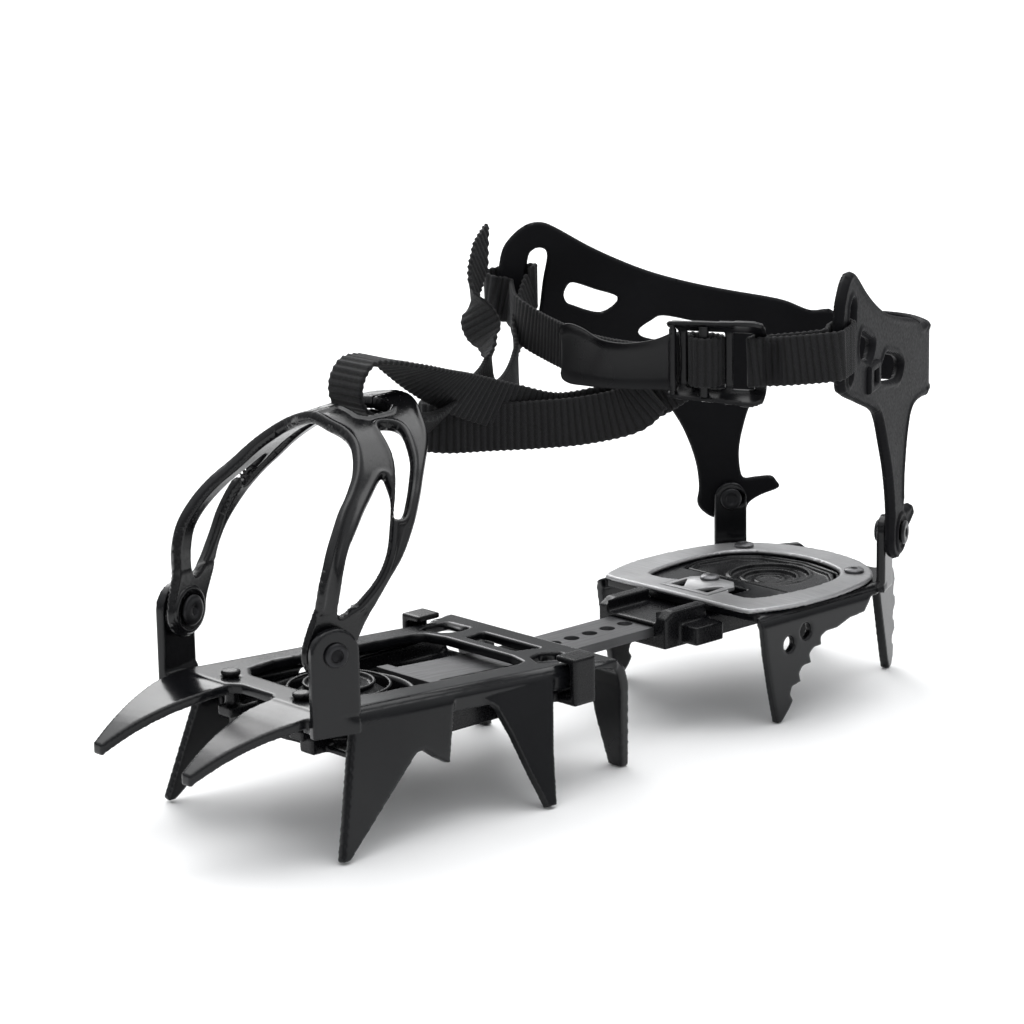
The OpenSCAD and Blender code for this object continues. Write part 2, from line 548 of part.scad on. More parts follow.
// Short sewn loop from the wing's slot to the buckle.
module buckle_strap() color("#141416") place() {
  ribbon([for (q = loop_path) q], [for (q = loop_path) up], strap_width, strap_thick, 4);
}
function in_buckle(x, y, z) = [buckle_pos[0] + x * cos(buckle_turn) - y * sin(buckle_turn),
  buckle_pos[1] + x * sin(buckle_turn) + y * cos(buckle_turn), buckle_pos[2] + z];
function in_wing(x, y, z) = [heel_pin[0] + x * cos(splay_left) - y * sin(splay_left),
  heel_pin[1] + x * sin(splay_left) + y * cos(splay_left), heel_pin[2] + z];
function in_far_wing(x, y, z) = [-heel_pin[0] - x * cos(splay_right) + y * sin(splay_right),
  heel_pin[1] + x * sin(splay_right) + y * cos(splay_right), heel_pin[2] + z];
wing_face = post_gap / 2 + harness_wall;
loop_path = [in_buckle(4.6, 2.0, 0), in_buckle(10.6, 2.4, 0.3), in_buckle(16, 1.6, 0.8), in_wing(-2.1, -79.5, 73.4),
  in_wing(-1.6, -72, 74), in_wing(-0.8, -67.6, 74.2), in_wing(1.5, -65.1, 74.4), in_wing(4, -65.7, 74.2),
  in_wing(wing_face + 1.7, -70, 74), in_wing(wing_face + 1.6, -76, 73.8), in_wing(wing_face, -81.5, 73.4),
  in_buckle(22, -1.6, 1.2), in_buckle(14, -2.2, 0.6), in_buckle(9.6, -2.4, 0)];

// One long strap: fixed at the buckle, through the far wing's slot, under and over the crown
// of the toe cage, back through the buckle, and its free end tucked up beside the far wing.
fixed_run = [[30, 151.4, 121], [26, 151.6, 119], [4, 155, 116], [-22, 160, 115], [-50, 167, 117], [-66, 170.5, 120.4],
  in_far_wing(-2.2, -74, 70), in_far_wing(-1.8, -79.6, 71.5), in_far_wing(1.95, -81.6, 72.5),
  in_far_wing(4.9, -79, 73), in_far_wing(5.1, -72, 73.8), in_far_wing(4.5, -66.6, 74.2),
  in_far_wing(1.95, -65, 74.4), in_far_wing(-1.3, -66.8, 74)];
toe_run = [in_far_wing(-1.3, -66.8, 74), [-69, 173, 114], [-60, 164, 104.5], [-46, 145, 99.8], [-28, 114, 103.6],
  [-12, 88, 108.4], [-3, 70, 112.6], [-1, 57, 115], [-0.5, 48, 116.6], [-0.5, 42.6, 121], [-0.5, 42.4, 127.4],
  [-0.5, 47, 132.4], [-0.8, 56, 131.6], [-1.6, 65, 127.6], [-3.4, 77.5, 121.4], [-6.4, 94.2, 114.4], [-5.6, 111.7, 108],
  [1, 124, 104.2], [10, 134.5, 105.8], [20, 145, 110], [29.6, 149.4, 116.6]];
tail_run = [in_buckle(-22.5, -0.2, -10.4), [18, 139.4, 106.4], [9, 129, 103.4], [0, 117, 102.6], [-8, 105, 102.6], [-14.5, 93.6, 102.8],
  [-21.5, 89.6, 103.2], [-26.5, 95.5, 103.2], [-33, 108, 103], [-43, 130, 103], [-50, 143, 107.4], [-54.6, 147, 117.2],
  [-61, 146.8, 129.5], [-66, 153.9, 140.1], [-70, 163.4, 148.6]];
across = [1, 0, 0];
slant = [0.5, 0, 1];
fixed_wide = [for (q = fixed_run) up];
toe_wide = [up, up, up, up, slant, [1, 0, 0.8], across, across, across, across, across, across, across,
  [1, 0, 0.3], [1, 0, 0.8], slant, [0.15, 0, 1], up, up, up, up];
tail_wide = [for (q = tail_run) up];

module ankle_strap() color("#141416") place() {
  ribbon(fixed_run, fixed_wide, strap_width, strap_thick, 4);
  ribbon(toe_run, toe_wide, strap_width, strap_thick, 5);
  ribbon(tail_run, tail_wide, strap_width, strap_thick, 4);
}
module strap_stitching() color("#3a3a3d") place() at_buckle()
  for (k = [0 : 3]) translate([14 + k * 1.6, -3.75, -6]) cube([0.5, 0.5, 12.4]);

front_frame();
front_antiball();
extension_bar();
toe_rivet_left();
toe_rivet_right();
toe_washer_left();
toe_washer_right();
toe_cage();
heel_frame();
heel_plate();
heel_antiball();
heel_screw_left();
heel_screw_right();
adjuster_housing();
lock_tongue();
lock_pin();
heel_rivet_left();
heel_rivet_right();
heel_washer_left();
heel_washer_right();
heel_harness();
buckle_frame();
buckle_bar();
buckle_tab();
buckle_strap();
ankle_strap();
strap_stitching();
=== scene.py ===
"""Twelve-point strap-on crampon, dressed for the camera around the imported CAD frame."""
import json
import math

import bmesh
import bpy
import numpy as np
from mathutils import Matrix, Vector


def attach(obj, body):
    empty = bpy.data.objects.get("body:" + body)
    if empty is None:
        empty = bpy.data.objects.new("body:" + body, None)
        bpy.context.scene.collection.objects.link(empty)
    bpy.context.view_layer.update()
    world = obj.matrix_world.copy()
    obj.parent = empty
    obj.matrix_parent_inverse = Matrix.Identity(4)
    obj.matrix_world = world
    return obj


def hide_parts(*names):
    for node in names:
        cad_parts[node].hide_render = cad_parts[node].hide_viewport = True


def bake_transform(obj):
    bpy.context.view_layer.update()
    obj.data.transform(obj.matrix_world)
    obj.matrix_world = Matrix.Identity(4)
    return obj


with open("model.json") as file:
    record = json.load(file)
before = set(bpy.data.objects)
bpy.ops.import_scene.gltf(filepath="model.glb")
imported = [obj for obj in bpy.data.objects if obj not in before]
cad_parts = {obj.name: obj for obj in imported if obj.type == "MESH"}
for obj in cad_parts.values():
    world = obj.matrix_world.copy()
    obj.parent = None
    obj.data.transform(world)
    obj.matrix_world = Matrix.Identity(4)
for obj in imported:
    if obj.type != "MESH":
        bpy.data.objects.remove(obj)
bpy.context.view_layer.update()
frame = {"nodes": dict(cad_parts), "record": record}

NODES = frame["nodes"]
MM = 0.001
SHIFT = Vector((6.0, -123.4, 0.0))  # from the part's drawing origin to its packed origin, mm

# The part's own dimensions, mm and degrees, as in its source.
POST_GAP = 0.9
PLATE = 3.0
CAGE_WALL = 3.2
HARNESS_WALL = 3.0
CAGE_TURN = 15.0
SPLAY = {"left": 27.0, "right": 38.0}
TOE_PIN = Vector((34.6, 4.4, 60.3))
HEEL_PIN = Vector((36.2, 240.2, 52.8))
RIVET_R = 2.2
BUCKLE_POS = Vector((44.0, 153.0, 123.2))
BUCKLE_TURN = 28.0
STRAP_W = 15.0
STRAP_T = 1.4
BAR_TOP = 32.0
RIM_TOP = 38.0
LOCK_Y = 193.0


# ---- placing ------------------------------------------------------------------
def place(p):
    """A drawing point in mm as a packed point in metres."""
    return (Vector(p) + SHIFT) * MM


def mirrored(p, side):
    return Vector((-p[0], p[1], p[2])) if side == "right" else Vector(p)


def turn_z(p, degrees):
    return Matrix.Rotation(math.radians(degrees), 3, "Z") @ Vector(p)


def at_toe(p, side="left"):
    return mirrored(TOE_PIN + turn_z(p, -CAGE_TURN), side)


def at_heel(p, side="left"):
    return mirrored(HEEL_PIN + turn_z(p, SPLAY[side]), side)


def at_buckle(p):
    return BUCKLE_POS + turn_z(p, BUCKLE_TURN)


# ---- meshes ---------------------------------------------------------------------
def new_object(name, mesh):
    ob = bpy.data.objects.new(name, mesh)
    bpy.context.scene.collection.objects.link(ob)
    return ob


def mesh_of(name, verts, faces):
    me = bpy.data.meshes.new(name)
    me.from_pydata([place(v) for v in verts], [], faces)
    bm = bmesh.new()
    bm.from_mesh(me)
    bmesh.ops.recalc_face_normals(bm, faces=bm.faces)
    bm.to_mesh(me)
    bm.free()
    return me


def smooth_faces(me):
    me.polygons.foreach_set("use_smooth", [True] * len(me.polygons))


def catmull(points, steps):
    """Catmull-Rom curve through the points, as lists of numbers of any length."""
    out = []
    n = len(points)
    for i in range(n - 1):
        a, b = points[max(i - 1, 0)], points[i]
        c, d = points[i + 1], points[min(i + 2, n - 1)]
        for k in range(steps):
            t = k / steps
            out.append([
                0.5 * (2 * q + (r - p) * t + (2 * p - 5 * q + 4 * r - s) * t * t
                       + (3 * q - p - 3 * r + s) * t ** 3)
                for p, q, r, s in zip(a, b, c, d)])
    out.append(list(points[-1]))
    return out


def tube(points, radius, closed=False, sides=8, flat=1.0, out=None):
    """A round bead along the points. With out, it is flattened along that direction."""
    n = len(points)
    verts, faces = [], []
    for i, p in enumerate(points):
        p = Vector(p)
        a = Vector(points[(i - 1) % n] if closed or i else points[0])
        b = Vector(points[(i + 1) % n] if closed or i < n - 1 else points[-1])
        tangent = (b - a).normalized()
        ref = Vector(out) if out is not None else Vector((0, 0, 1))
        if abs(tangent.dot(ref)) > 0.95:
            ref = Vector((0, 1, 0))
        side = tangent.cross(ref).normalized()
        rise = side.cross(tangent).normalized()
        for k in range(sides):
            t = 2 * math.pi * k / sides
            verts.append(p + side * (radius * math.cos(t)) + rise * (radius * flat * math.sin(t)))
    rings = n if closed else n - 1
    for i in range(rings):
        j = (i + 1) % n
        for k in range(sides):
            m = (k + 1) % sides
            faces.append((i * sides + k, i * sides + m, j * sides + m, j * sides + k))
    if not closed:
        faces.append(tuple(range(sides)))
        faces.append(tuple(range((n - 1) * sides, n * sides)))
    return mesh_of("bead", verts, faces)


def lathe(profile, origin, axis, turns=56):
    """A turned part: the profile is (radius, distance along the axis) from one end to the other."""
    axis = Vector(axis).normalized()
    side = axis.orthogonal().normalized()
    third = axis.cross(side)
    verts, faces = [], []
    for r, h in profile:
        for k in range(turns):
            t = 2 * math.pi * k / turns
            spoke = side * math.cos(t) + third * math.sin(t)
            verts.append(Vector(origin) + axis * h + spoke * max(r, 0.02))
    for i in range(len(profile) - 1):
        for k in range(turns):
            m = (k + 1) % turns
            faces.append((i * turns + k, i * turns + m, (i + 1) * turns + m, (i + 1) * turns + k))
    faces.append(tuple(range(turns)))
    faces.append(tuple(range((len(profile) - 1) * turns, len(profile) * turns)))
    return mesh_of("turned", verts, faces)


def joined(name, meshes):
    bm = bmesh.new()
    for me in meshes:
        bm.from_mesh(me)
    out = bpy.data.meshes.new(name)
    bm.to_mesh(out)
    bm.free()
    return out


def baked(ob):
    """The object with its modifiers made real."""
    graph = bpy.context.evaluated_depsgraph_get()
    made = bpy.data.meshes.new_from_object(ob.evaluated_get(graph))
    ob.modifiers.clear()
    ob.data = made
    return ob


def moulded(node, name, extras=(), voxel=0.55, rounds=6, shape=None):
    """The node's solid with beads and bosses fused on and every edge softened, as in a mould."""
    bm = bmesh.new()
    bm.from_mesh(NODES[node].data)
    bmesh.ops.remove_doubles(bm, verts=bm.verts, dist=2e-6)
    for me in extras:
        bm.from_mesh(me)
    me = bpy.data.meshes.new(name)
    bm.to_mesh(me)
    bm.free()
    ob = new_object(name, me)
    grow = ob.modifiers.new("fuse", "REMESH")
    grow.mode = "VOXEL"
    grow.voxel_size = voxel * MM
    soften = ob.modifiers.new("soften", "SMOOTH")
    soften.factor = 0.5
    soften.iterations = rounds
    baked(ob)
    if shape:
        for v in ob.data.vertices:
            v.co = place(shape(Vector(v.co) / MM - SHIFT))
    smooth_faces(ob.data)
    return ob


def signed(x, y, loop):
    """How far inside the closed loop each point is; negative outside."""
    best = np.full(x.shape, 1e9)
    inside = np.zeros(x.shape, bool)
    for (ax, ay), (bx, by) in zip(loop, loop[1:] + loop[:1]):
        dx, dy = bx - ax, by - ay
        t = np.clip(((x - ax) * dx + (y - ay) * dy) / (dx * dx + dy * dy + 1e-12), 0, 1)
        best = np.minimum(best, np.hypot(x - ax - t * dx, y - ay - t * dy))
        if ay != by:
            inside ^= ((ay > y) != (by > y)) & (x < (bx - ax) * (y - ay) / (by - ay) + ax)
    return np.where(inside, best, -best)


def rounded(points, steps=5):
    """The closed outline as a smooth loop."""
    pts = [list(p) for p in points]
    path = catmull([pts[-1]] + pts + pts[:2], steps)
    return [tuple(q) for q in path[steps:steps * (len(pts) + 1)]]


def sheet_mesh(field, low, high, to_point, half, rib=0.0, rib_at=1.5, soft=1.1, cell=0.5, calm=()):
    """A moulded sheet where field > 0: rounded rims, and a raised rib along each rim on its outer side."""
    u, v = np.meshgrid(np.arange(low[0], high[0], cell), np.arange(low[1], high[1], cell), indexing="ij")
    d = field(u, v)
    gu, gv = np.gradient(d, cell)
    size = gu * gu + gv * gv + 1e-9
    near = (np.abs(d) < 0.75 * cell) & (size > 0.2)
    u = u - np.where(near, d * gu / size, 0)
    v = v - np.where(near, d * gv / size, 0)
    d = np.where(near, 0.0, d)
    ok = d >= -1e-9
    quad = ok[:-1, :-1] & ok[1:, :-1] & ok[1:, 1:] & ok[:-1, 1:]
    number = np.arange(d.size).reshape(d.shape)
    i, j = np.nonzero(quad)
    quads = np.stack([number[i, j], number[i + 1, j], number[i + 1, j + 1], number[i, j + 1]], 1)
    used, flat = np.unique(quads, return_inverse=True)
    quads = flat.reshape(quads.shape)
    uu, vv, dd = u.ravel()[used], v.ravel()[used], np.maximum(d.ravel()[used], 0)
    round_off = np.sqrt(1 - (1 - np.minimum(dd / soft, 1)) ** 2)
    top = half * round_off + rib * np.exp(-((dd - rib_at) / 0.7) ** 2) * np.minimum(dd / 0.6, 1)
    for cu, cv, reach in calm:
        away = np.clip((np.hypot(uu - cu, vv - cv) - reach) / 3.0, 0, 1)
        top = np.minimum(top, half) + (top - np.minimum(top, half)) * away
    n = len(used)
    verts = np.concatenate([to_point(uu, vv, top + 0.02), to_point(uu, vv, -half * round_off - 0.02)])
    edges = {}
    for q in quads.tolist():
        for a, b in zip(q, q[1:] + q[:1]):
            edges[(a, b)] = True
    walls = [(b, a, a + n, b + n) for a, b in edges if (b, a) not in edges]
    faces = quads.tolist() + (quads[:, ::-1] + n).tolist() + walls
    me = bpy.data.meshes.new("sheet")
    me.from_pydata([place(p) for p in verts.tolist()], [], faces)
    bm = bmesh.new()
    bm.from_mesh(me)
    bmesh.ops.remove_doubles(bm, verts=bm.verts, dist=1e-5)
    bmesh.ops.dissolve_degenerate(bm, dist=1e-6, edges=bm.edges)
    bmesh.ops.recalc_face_normals(bm, faces=bm.faces)
    bm.to_mesh(me)
    bm.free()
    smooth_faces(me)
    return me


def side_flip(points, side):
    return points * np.array([-1.0, 1.0, 1.0]) if side == "right" else points


# ---- materials --------------------------------------------------------------------
RIB_PITCH = 2.1
WEFT_PITCH = RIB_PITCH / 2
WARP_PITCH = 0.75


class Shade:
    """A node material built by small steps."""

    def __init__(self, name, color, rough, metal=0.0, spec=0.5, sheen=0.0):
        self.mat = bpy.data.materials.new(name)
        self.mat.use_nodes = True
        self.tree = self.mat.node_tree
        self.bsdf = self.tree.nodes["Principled BSDF"]
        self.set(self.bsdf, {
            "Base Color": (*color, 1), "Roughness": rough, "Metallic": metal,
            "Specular IOR Level": spec,
            "Sheen Weight": sheen, "Sheen Roughness": 0.5})
        self.color, self.rough = color, rough
        self.position = self.node("ShaderNodeTexCoord").outputs["Object"]

    def node(self, kind, values=None, **props):
        n = self.tree.nodes.new(kind)
        for k, v in props.items():
            setattr(n, k, v)
        self.set(n, values or {})
        return n

    def set(self, n, values):
        for k, v in values.items():
            if hasattr(v, "is_linked"):
                self.tree.links.new(v, n.inputs[k])
            else:
                n.inputs[k].default_value = v

    def math(self, op, a, b=0.0, c=0.0):
        return self.node("ShaderNodeMath", {0: a, 1: b, 2: c}, operation=op).outputs[0]

    def noise(self, scale, detail=3.0, coords=None, rough=0.5):
        return self.node("ShaderNodeTexNoise", {
            "Vector": coords or self.position, "Scale": scale, "Detail": detail,
            "Roughness": rough}).outputs["Fac"]

    def stretch(self, xyz):
        return self.node("ShaderNodeMapping", {"Vector": self.position, "Scale": xyz}).outputs[0]

    def remap(self, value, low, high, to_low=0.0, to_high=1.0):
        return self.node("ShaderNodeMapRange", {
            "Value": value, "From Min": low, "From Max": high, "To Min": to_low,
            "To Max": to_high}).outputs["Result"]

    def mix(self, fac, a, b):
        n = self.node("ShaderNodeMix", data_type="RGBA")
        for socket, value in ((n.inputs[0], fac), (n.inputs[6], a), (n.inputs[7], b)):
            if hasattr(value, "is_linked"):
                self.tree.links.new(value, socket)
            else:
                socket.default_value = value
        return n.outputs[2]

    def worn_and_highlit_edges(self, radius, amount):
        """1 along sharp edges, broken up by noise: partly where an edge is rubbed, partly a painted edge
        highlight.
        """
        soft = self.node("ShaderNodeBevel", {"Radius": radius * MM}, samples=4)
        true = self.node("ShaderNodeNewGeometry").outputs["True Normal"]
        dot = self.node("ShaderNodeVectorMath", {0: soft.outputs[0], 1: true},
                        operation="DOT_PRODUCT").outputs["Value"]
        edge = self.remap(dot, 0.97, 0.8)
        broken = self.remap(self.noise(420.0, 4.0), 0.42, 0.68)
        return soft.outputs[0], self.math("MULTIPLY", self.math("MULTIPLY", edge, broken), amount)

    def bump(self, height, strength, distance, normal=None):
        values = {"Height": height, "Strength": strength, "Distance": distance * MM}
        if normal is not None:
            values["Normal"] = normal
        return self.node("ShaderNodeBump", values).outputs[0]

    def finish(self, color=None, rough=None, normal=None):
        for key, value in (("Base Color", color), ("Roughness", rough), ("Normal", normal)):
            if value is not None:
                self.set(self.bsdf, {key: value})
        return self.mat


def rgba(c):
    return (*c, 1)


def coated_steel(name, color, rough, bare, spec):
    """Black-coated sheet: fine orange peel, cloudy gloss, and lighter bare metal on the edges, partly rubbed
    wear and partly a painted edge highlight.
    """
    s = Shade(name, color, rough, spec=spec)
    bevel, edge = s.worn_and_highlit_edges(0.7, 0.5)
    cloud = s.noise(38.0, 5.0)
    tone = s.mix(s.remap(cloud, 0.35, 0.7), rgba(color), rgba([c * 1.4 for c in color]))
    peel = s.noise(1500.0, 2.0)
    scratch = s.remap(s.noise(260.0, 6.0, s.stretch((1.0, 0.06, 1.0)), 0.7), 0.66, 0.74)
    # edges are mixed toward the lighter bare colour: partly rubbed wear, partly a painted edge highlight
    return s.finish(
        s.mix(edge, tone, rgba(bare)),
        s.math("ADD", s.remap(cloud, 0.3, 0.7, rough - 0.05, rough + 0.08),
               s.math("MULTIPLY", scratch, 0.05)),
        s.bump(peel, 0.35, 0.02, bevel))


def bare_steel(name, color, rough, grain, metal=0.85, spec=0.5):
    """Brushed plate: grain along one direction, a few scratches and cloudy tone."""
    s = Shade(name, color, rough, metal=metal, spec=spec)
    bevel, edge = s.worn_and_highlit_edges(0.5, 0.6)
    lines = s.noise(900.0, 4.0, s.stretch(grain), 0.6)
    cloud = s.noise(45.0, 4.0)
    tone = s.mix(s.remap(cloud, 0.3, 0.7), rgba([c * 0.8 for c in color]),
                 rgba([min(c * 1.12, 1) for c in color]))
    tone = s.mix(s.remap(lines, 0.35, 0.7, 0.0, 0.18), tone, rgba([c * 0.55 for c in color]))
    # lighter edge colour on the edge mask: partly rubbed metal, partly a painted edge highlight
    light = rgba([min(c * 1.5, 0.9) for c in color])
    return s.finish(s.mix(edge, tone, light), s.remap(lines, 0.3, 0.7, rough - 0.06, rough + 0.12),
                    s.bump(lines, 0.25, 0.03, bevel))


def moulded_rubber(name, color, rough, grain, spec=0.4, depth=0.35):
    """Moulded rubber or plastic: fine spark-eroded grain, soft mottling, pale scuffs."""
    s = Shade(name, color, rough, spec=spec)
    fine = s.noise(grain, 3.0)
    cloud = s.noise(30.0, 4.0)
    tone = s.mix(s.remap(cloud, 0.3, 0.75), rgba(color), rgba([c * 1.6 for c in color]))
    scuff = s.remap(s.noise(300.0, 6.0, s.stretch((1.0, 0.15, 0.4)), 0.7), 0.68, 0.76, 0.0, 0.15)
    bevel = s.node("ShaderNodeBevel", {"Radius": 0.35 * MM}, samples=4).outputs[0]
    return s.finish(s.mix(scuff, tone, rgba([c * 3 for c in color])),
                    s.remap(fine, 0.3, 0.7, rough - 0.06, rough + 0.08),
                    s.bump(fine, depth, 0.03, bevel))


def webbing(name, color):
    """Woven polyester tape: cross ribs, a twill of yarns and a fuzzy sheen, from arc-length UVs."""
    s = Shade(name, color, 0.62, spec=0.3, sheen=0.05)
    uv = s.node("ShaderNodeUVMap", uv_map="weave").outputs[0]
    parts = s.node("ShaderNodeSeparateXYZ", {0: uv})
    along, across = parts.outputs[0], parts.outputs[1]
    warp = s.math("SINE", s.math("MULTIPLY", across, 2 * math.pi / WARP_PITCH))
    shift = s.math("MULTIPLY", s.math("SIGN", warp), 0.36)
    weft = s.math("SINE", s.math("MULTIPLY", s.math("ADD", along, shift), 2 * math.pi / WEFT_PITCH))
    yarn = s.math("ADD", s.math("MULTIPLY", s.math("ABSOLUTE", warp), 0.5),
                  s.math("MULTIPLY", s.math("ABSOLUTE", weft), 0.6))
    fuzz = s.noise(2600.0, 3.0)
    cloud = s.noise(60.0, 3.0)
    # painted shade: darker in the hollows between yarns and lighter on their tops, following the same yarn
    # height as the bump
    tone = s.mix(s.remap(yarn, 0.1, 0.9), rgba([c * 0.45 for c in color]), rgba([c * 1.5 for c in color]))
    tone = s.mix(s.remap(cloud, 0.4, 0.75, 0.0, 0.35), tone, rgba([c * 2.4 for c in color]))
    # painted shade: the tape is darkened toward a quarter of its colour in the grooves between the cross ribs
    groove_shade_wave = s.math("SINE", s.math("MULTIPLY", along, 2 * math.pi / RIB_PITCH))
    tone = s.mix(s.remap(groove_shade_wave, -0.9, 0.3), rgba([c * 0.25 for c in color]), tone)
    height = s.math("ADD", yarn, s.math("MULTIPLY", fuzz, 0.35))
    return s.finish(tone, s.remap(fuzz, 0.3, 0.7, 0.6, 0.85), s.bump(height, 0.9, 0.18))


BLACK_STEEL = coated_steel("black_coated_steel", (0.0040, 0.0042, 0.0050), 0.20, (0.05, 0.05, 0.052),
                           spec=0.30)
BUCKLE_BLACK = coated_steel("black_buckle_steel", (0.0040, 0.0040, 0.0047), 0.30, (0.03, 0.03, 0.031),
                            spec=0.25)
RIM = bare_steel("rim_plate_steel", (0.37, 0.37, 0.375), 0.34, (0.10, 1.0, 1.0), metal=0.55)
BAR = bare_steel("bar_steel", (0.085, 0.085, 0.088), 0.42, (1.0, 0.05, 1.0), metal=0.7)
PLATED = bare_steel("rivet_steel", (0.022, 0.022, 0.024), 0.34, (1.0, 1.0, 1.0), metal=0.75)
SCREW = bare_steel("screw_steel", (0.14, 0.14, 0.145), 0.32, (1.0, 1.0, 1.0), metal=0.8)
PLASTIC = moulded_rubber("moulded_plastic", (0.0034, 0.0034, 0.0040), 0.28, 1400.0, spec=0.22, depth=0.03)
CAGE = moulded_rubber("cage_rubber", (0.0034, 0.0034, 0.0040), 0.20, 900.0, spec=0.36, depth=0.05)
HARNESS = moulded_rubber("harness_rubber", (0.0058, 0.0058, 0.0066), 0.52, 1100.0, spec=0.05, depth=0.25)
WASHER = moulded_rubber("washer_rubber", (0.01, 0.01, 0.01), 0.6, 1500.0, spec=0.2)
WEB = webbing("black_webbing", (0.0052, 0.0052, 0.0060))
THREAD = moulded_rubber("bar_tack_thread", (0.018, 0.018, 0.020), 0.7, 2500.0, spec=0.2)

BODY_OF = {n: b for b, names in frame["record"]["behaviour"]["bodies"].items() for n in names}


def paint(ob, mat):
    ob.data.materials.clear()
    ob.data.materials.append(mat)


def stand_for(ob, node, mat):
    paint(ob, mat)
    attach(ob, BODY_OF[node])
    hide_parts(node)
    return ob


for node, mat in (
        ("extension_bar", BAR), ("buckle_bar", BUCKLE_BLACK),
        ("toe_washer_left", WASHER), ("toe_washer_right", WASHER),
        ("heel_washer_left", WASHER), ("heel_washer_right", WASHER)):
    for part_slot in NODES[node].material_slots:
        part_slot.material = mat


# ---- pressed steel sections ----
def bend(p, edge_x, top, radius):
    """Turns the square outer top corner of a rail into a pressed bend of that radius."""
    dx = abs(p.x) - (edge_x - radius)
    dz = p.z - (top - radius)
    if dx <= 0 or dz <= 0:
        return p
    size = math.hypot(dx, dz)
    pull = max(dx, dz) / size
    return Vector((math.copysign(edge_x - radius + dx * pull, p.x), p.y, top - radius + dz * pull))


def front_bend(p):
    if not 4.0 < p.y < 104.0:
        return p
    ease = min((p.y - 4.0) / 6.0, (104.0 - p.y) / 4.0, 1.0)
    top = 42.2 - (p.y - 8.3) * math.tan(math.radians(3.2))
    return p.lerp(bend(p, 35.5, top, 4.2), ease) if p.z <= top + 0.05 else p


def heel_bend(p):
    if not 177.0 < p.y < 238.0 or p.z > 36.35:
        return p
    ease = min((p.y - 177.0) / 2.0 + 0.4, (238.0 - p.y) / 6.0, 1.0)
    return p.lerp(bend(p, 38.0, 36.3, 4.6), ease)


stand_for(moulded("front_frame", "front_frame_pressing", (), voxel=0.45, rounds=7, shape=front_bend),
          "front_frame", BLACK_STEEL)
stand_for(moulded("heel_frame", "heel_frame_pressing", (), voxel=0.45, rounds=6, shape=heel_bend),
          "heel_frame", BLACK_STEEL)


# ---- rim plate and buckle frame ----
def flat_loop(points):
    """The half outline and its mirror image as one smooth loop."""
    return rounded(list(points) + [(-x, y) for x, y in reversed(points) if abs(x) > 0.01], 5)


RIM_LOOP = flat_loop([(0, 176.5), (16, 176.5), (29.5, 176.6), (33.8, 179.4), (38, 194), (38.6, 208),
                      (37.6, 219),
                      (35, 230), (31.5, 237), (24.5, 243.5), (14, 248.5), (0, 250.5)])
RIM_HOLE = flat_loop([(0, 197.5), (7.4, 197.3), (9.6, 193.6), (12, 189), (20, 187.6), (24.5, 191.4),
                      (27, 205), (27, 218),
                      (24, 228.5), (16, 236), (0, 239.5)])


LOCK_SLOT = [(-10.3, 180.9), (10.3, 180.9), (10.3, 198.6), (-10.3, 198.6)]
RIM_SCREW_X, RIM_SCREW_Y, RIM_SCREW_R = 24.8, 235.4, 1.9


def rim_field(u, v):
    d = np.minimum(signed(u, v, RIM_LOOP), -signed(u, v, RIM_HOLE))
    d = np.minimum(d, -signed(u, v, LOCK_SLOT))
    for x in (-RIM_SCREW_X, RIM_SCREW_X):
        d = np.minimum(d, np.hypot(u - x, v - RIM_SCREW_Y) - RIM_SCREW_R)
    return d


rim = new_object("heel_rim_plate", sheet_mesh(
    rim_field, (-39.5, 175.5), (39.5, 251.5), lambda u, v, h: np.stack([u, v, RIM_TOP - 0.77 + h], 1), 0.75,
    soft=0.35))
stand_for(rim, "heel_plate", RIM)

BUCKLE_LOOP = rounded([(-13.5, -8), (-16.2, -9.6), (-16.4, -11.4), (-12, -11.9), (0, -12.3), (9, -12.8),
                       (12.8, -12.2),
                       (14, -9.6), (14, 9.6), (12.8, 12.2), (9, 12.8), (0, 12.3), (-12, 11.9), (-16.4, 11.4),
                       (-16.2, 9.6), (-13.5, 8)])


def buckle_field(u, v):
    d = signed(u, v, BUCKLE_LOOP)
    for low, high in ((-10.7, 1.0), (3.6, 10.2)):
        d = np.minimum(d, -signed(u, v, [(low, -8.6), (high, -8.6), (high, 8.6), (low, 8.6)]))
    return d


def buckle_point(u, v, h):
    """The flanges above and below curl out toward the wearer's side."""
    flange = np.maximum(np.abs(v) - 7.6, 0)
    c, q = math.cos(math.radians(BUCKLE_TURN)), math.sin(math.radians(BUCKLE_TURN))
    y = -h - 0.2 * flange ** 2
    return np.stack([BUCKLE_POS.x + u * c - y * q, BUCKLE_POS.y + u * q + y * c,
                     BUCKLE_POS.z + v - np.sign(v) * np.minimum(0.25 * h * flange, 1.0)], 1)


buckle = new_object("buckle_frame_pressing", sheet_mesh(
    buckle_field, (-17.5, -14), (15, 14), buckle_point, 0.6, soft=0.4, cell=0.3))
stand_for(buckle, "buckle_frame", BUCKLE_BLACK)


# ---- toe cage -----------------------------------------------------------------------
ARCH = [(0, -9), (0, 8), (0.5, 12), (1, 18), (0.4, 25), (-2.5, 32.4), (-6.4, 38.4), (-10.5, 43.1),
        (-13.6, 46.7), (-17, 49.9), (-20.6, 52.6), (-23.6, 54.5), (-27.2, 56.3), (-32.6, 58.4),
        (-38, 60), (-47, 61.2), (-60, 61.4)]


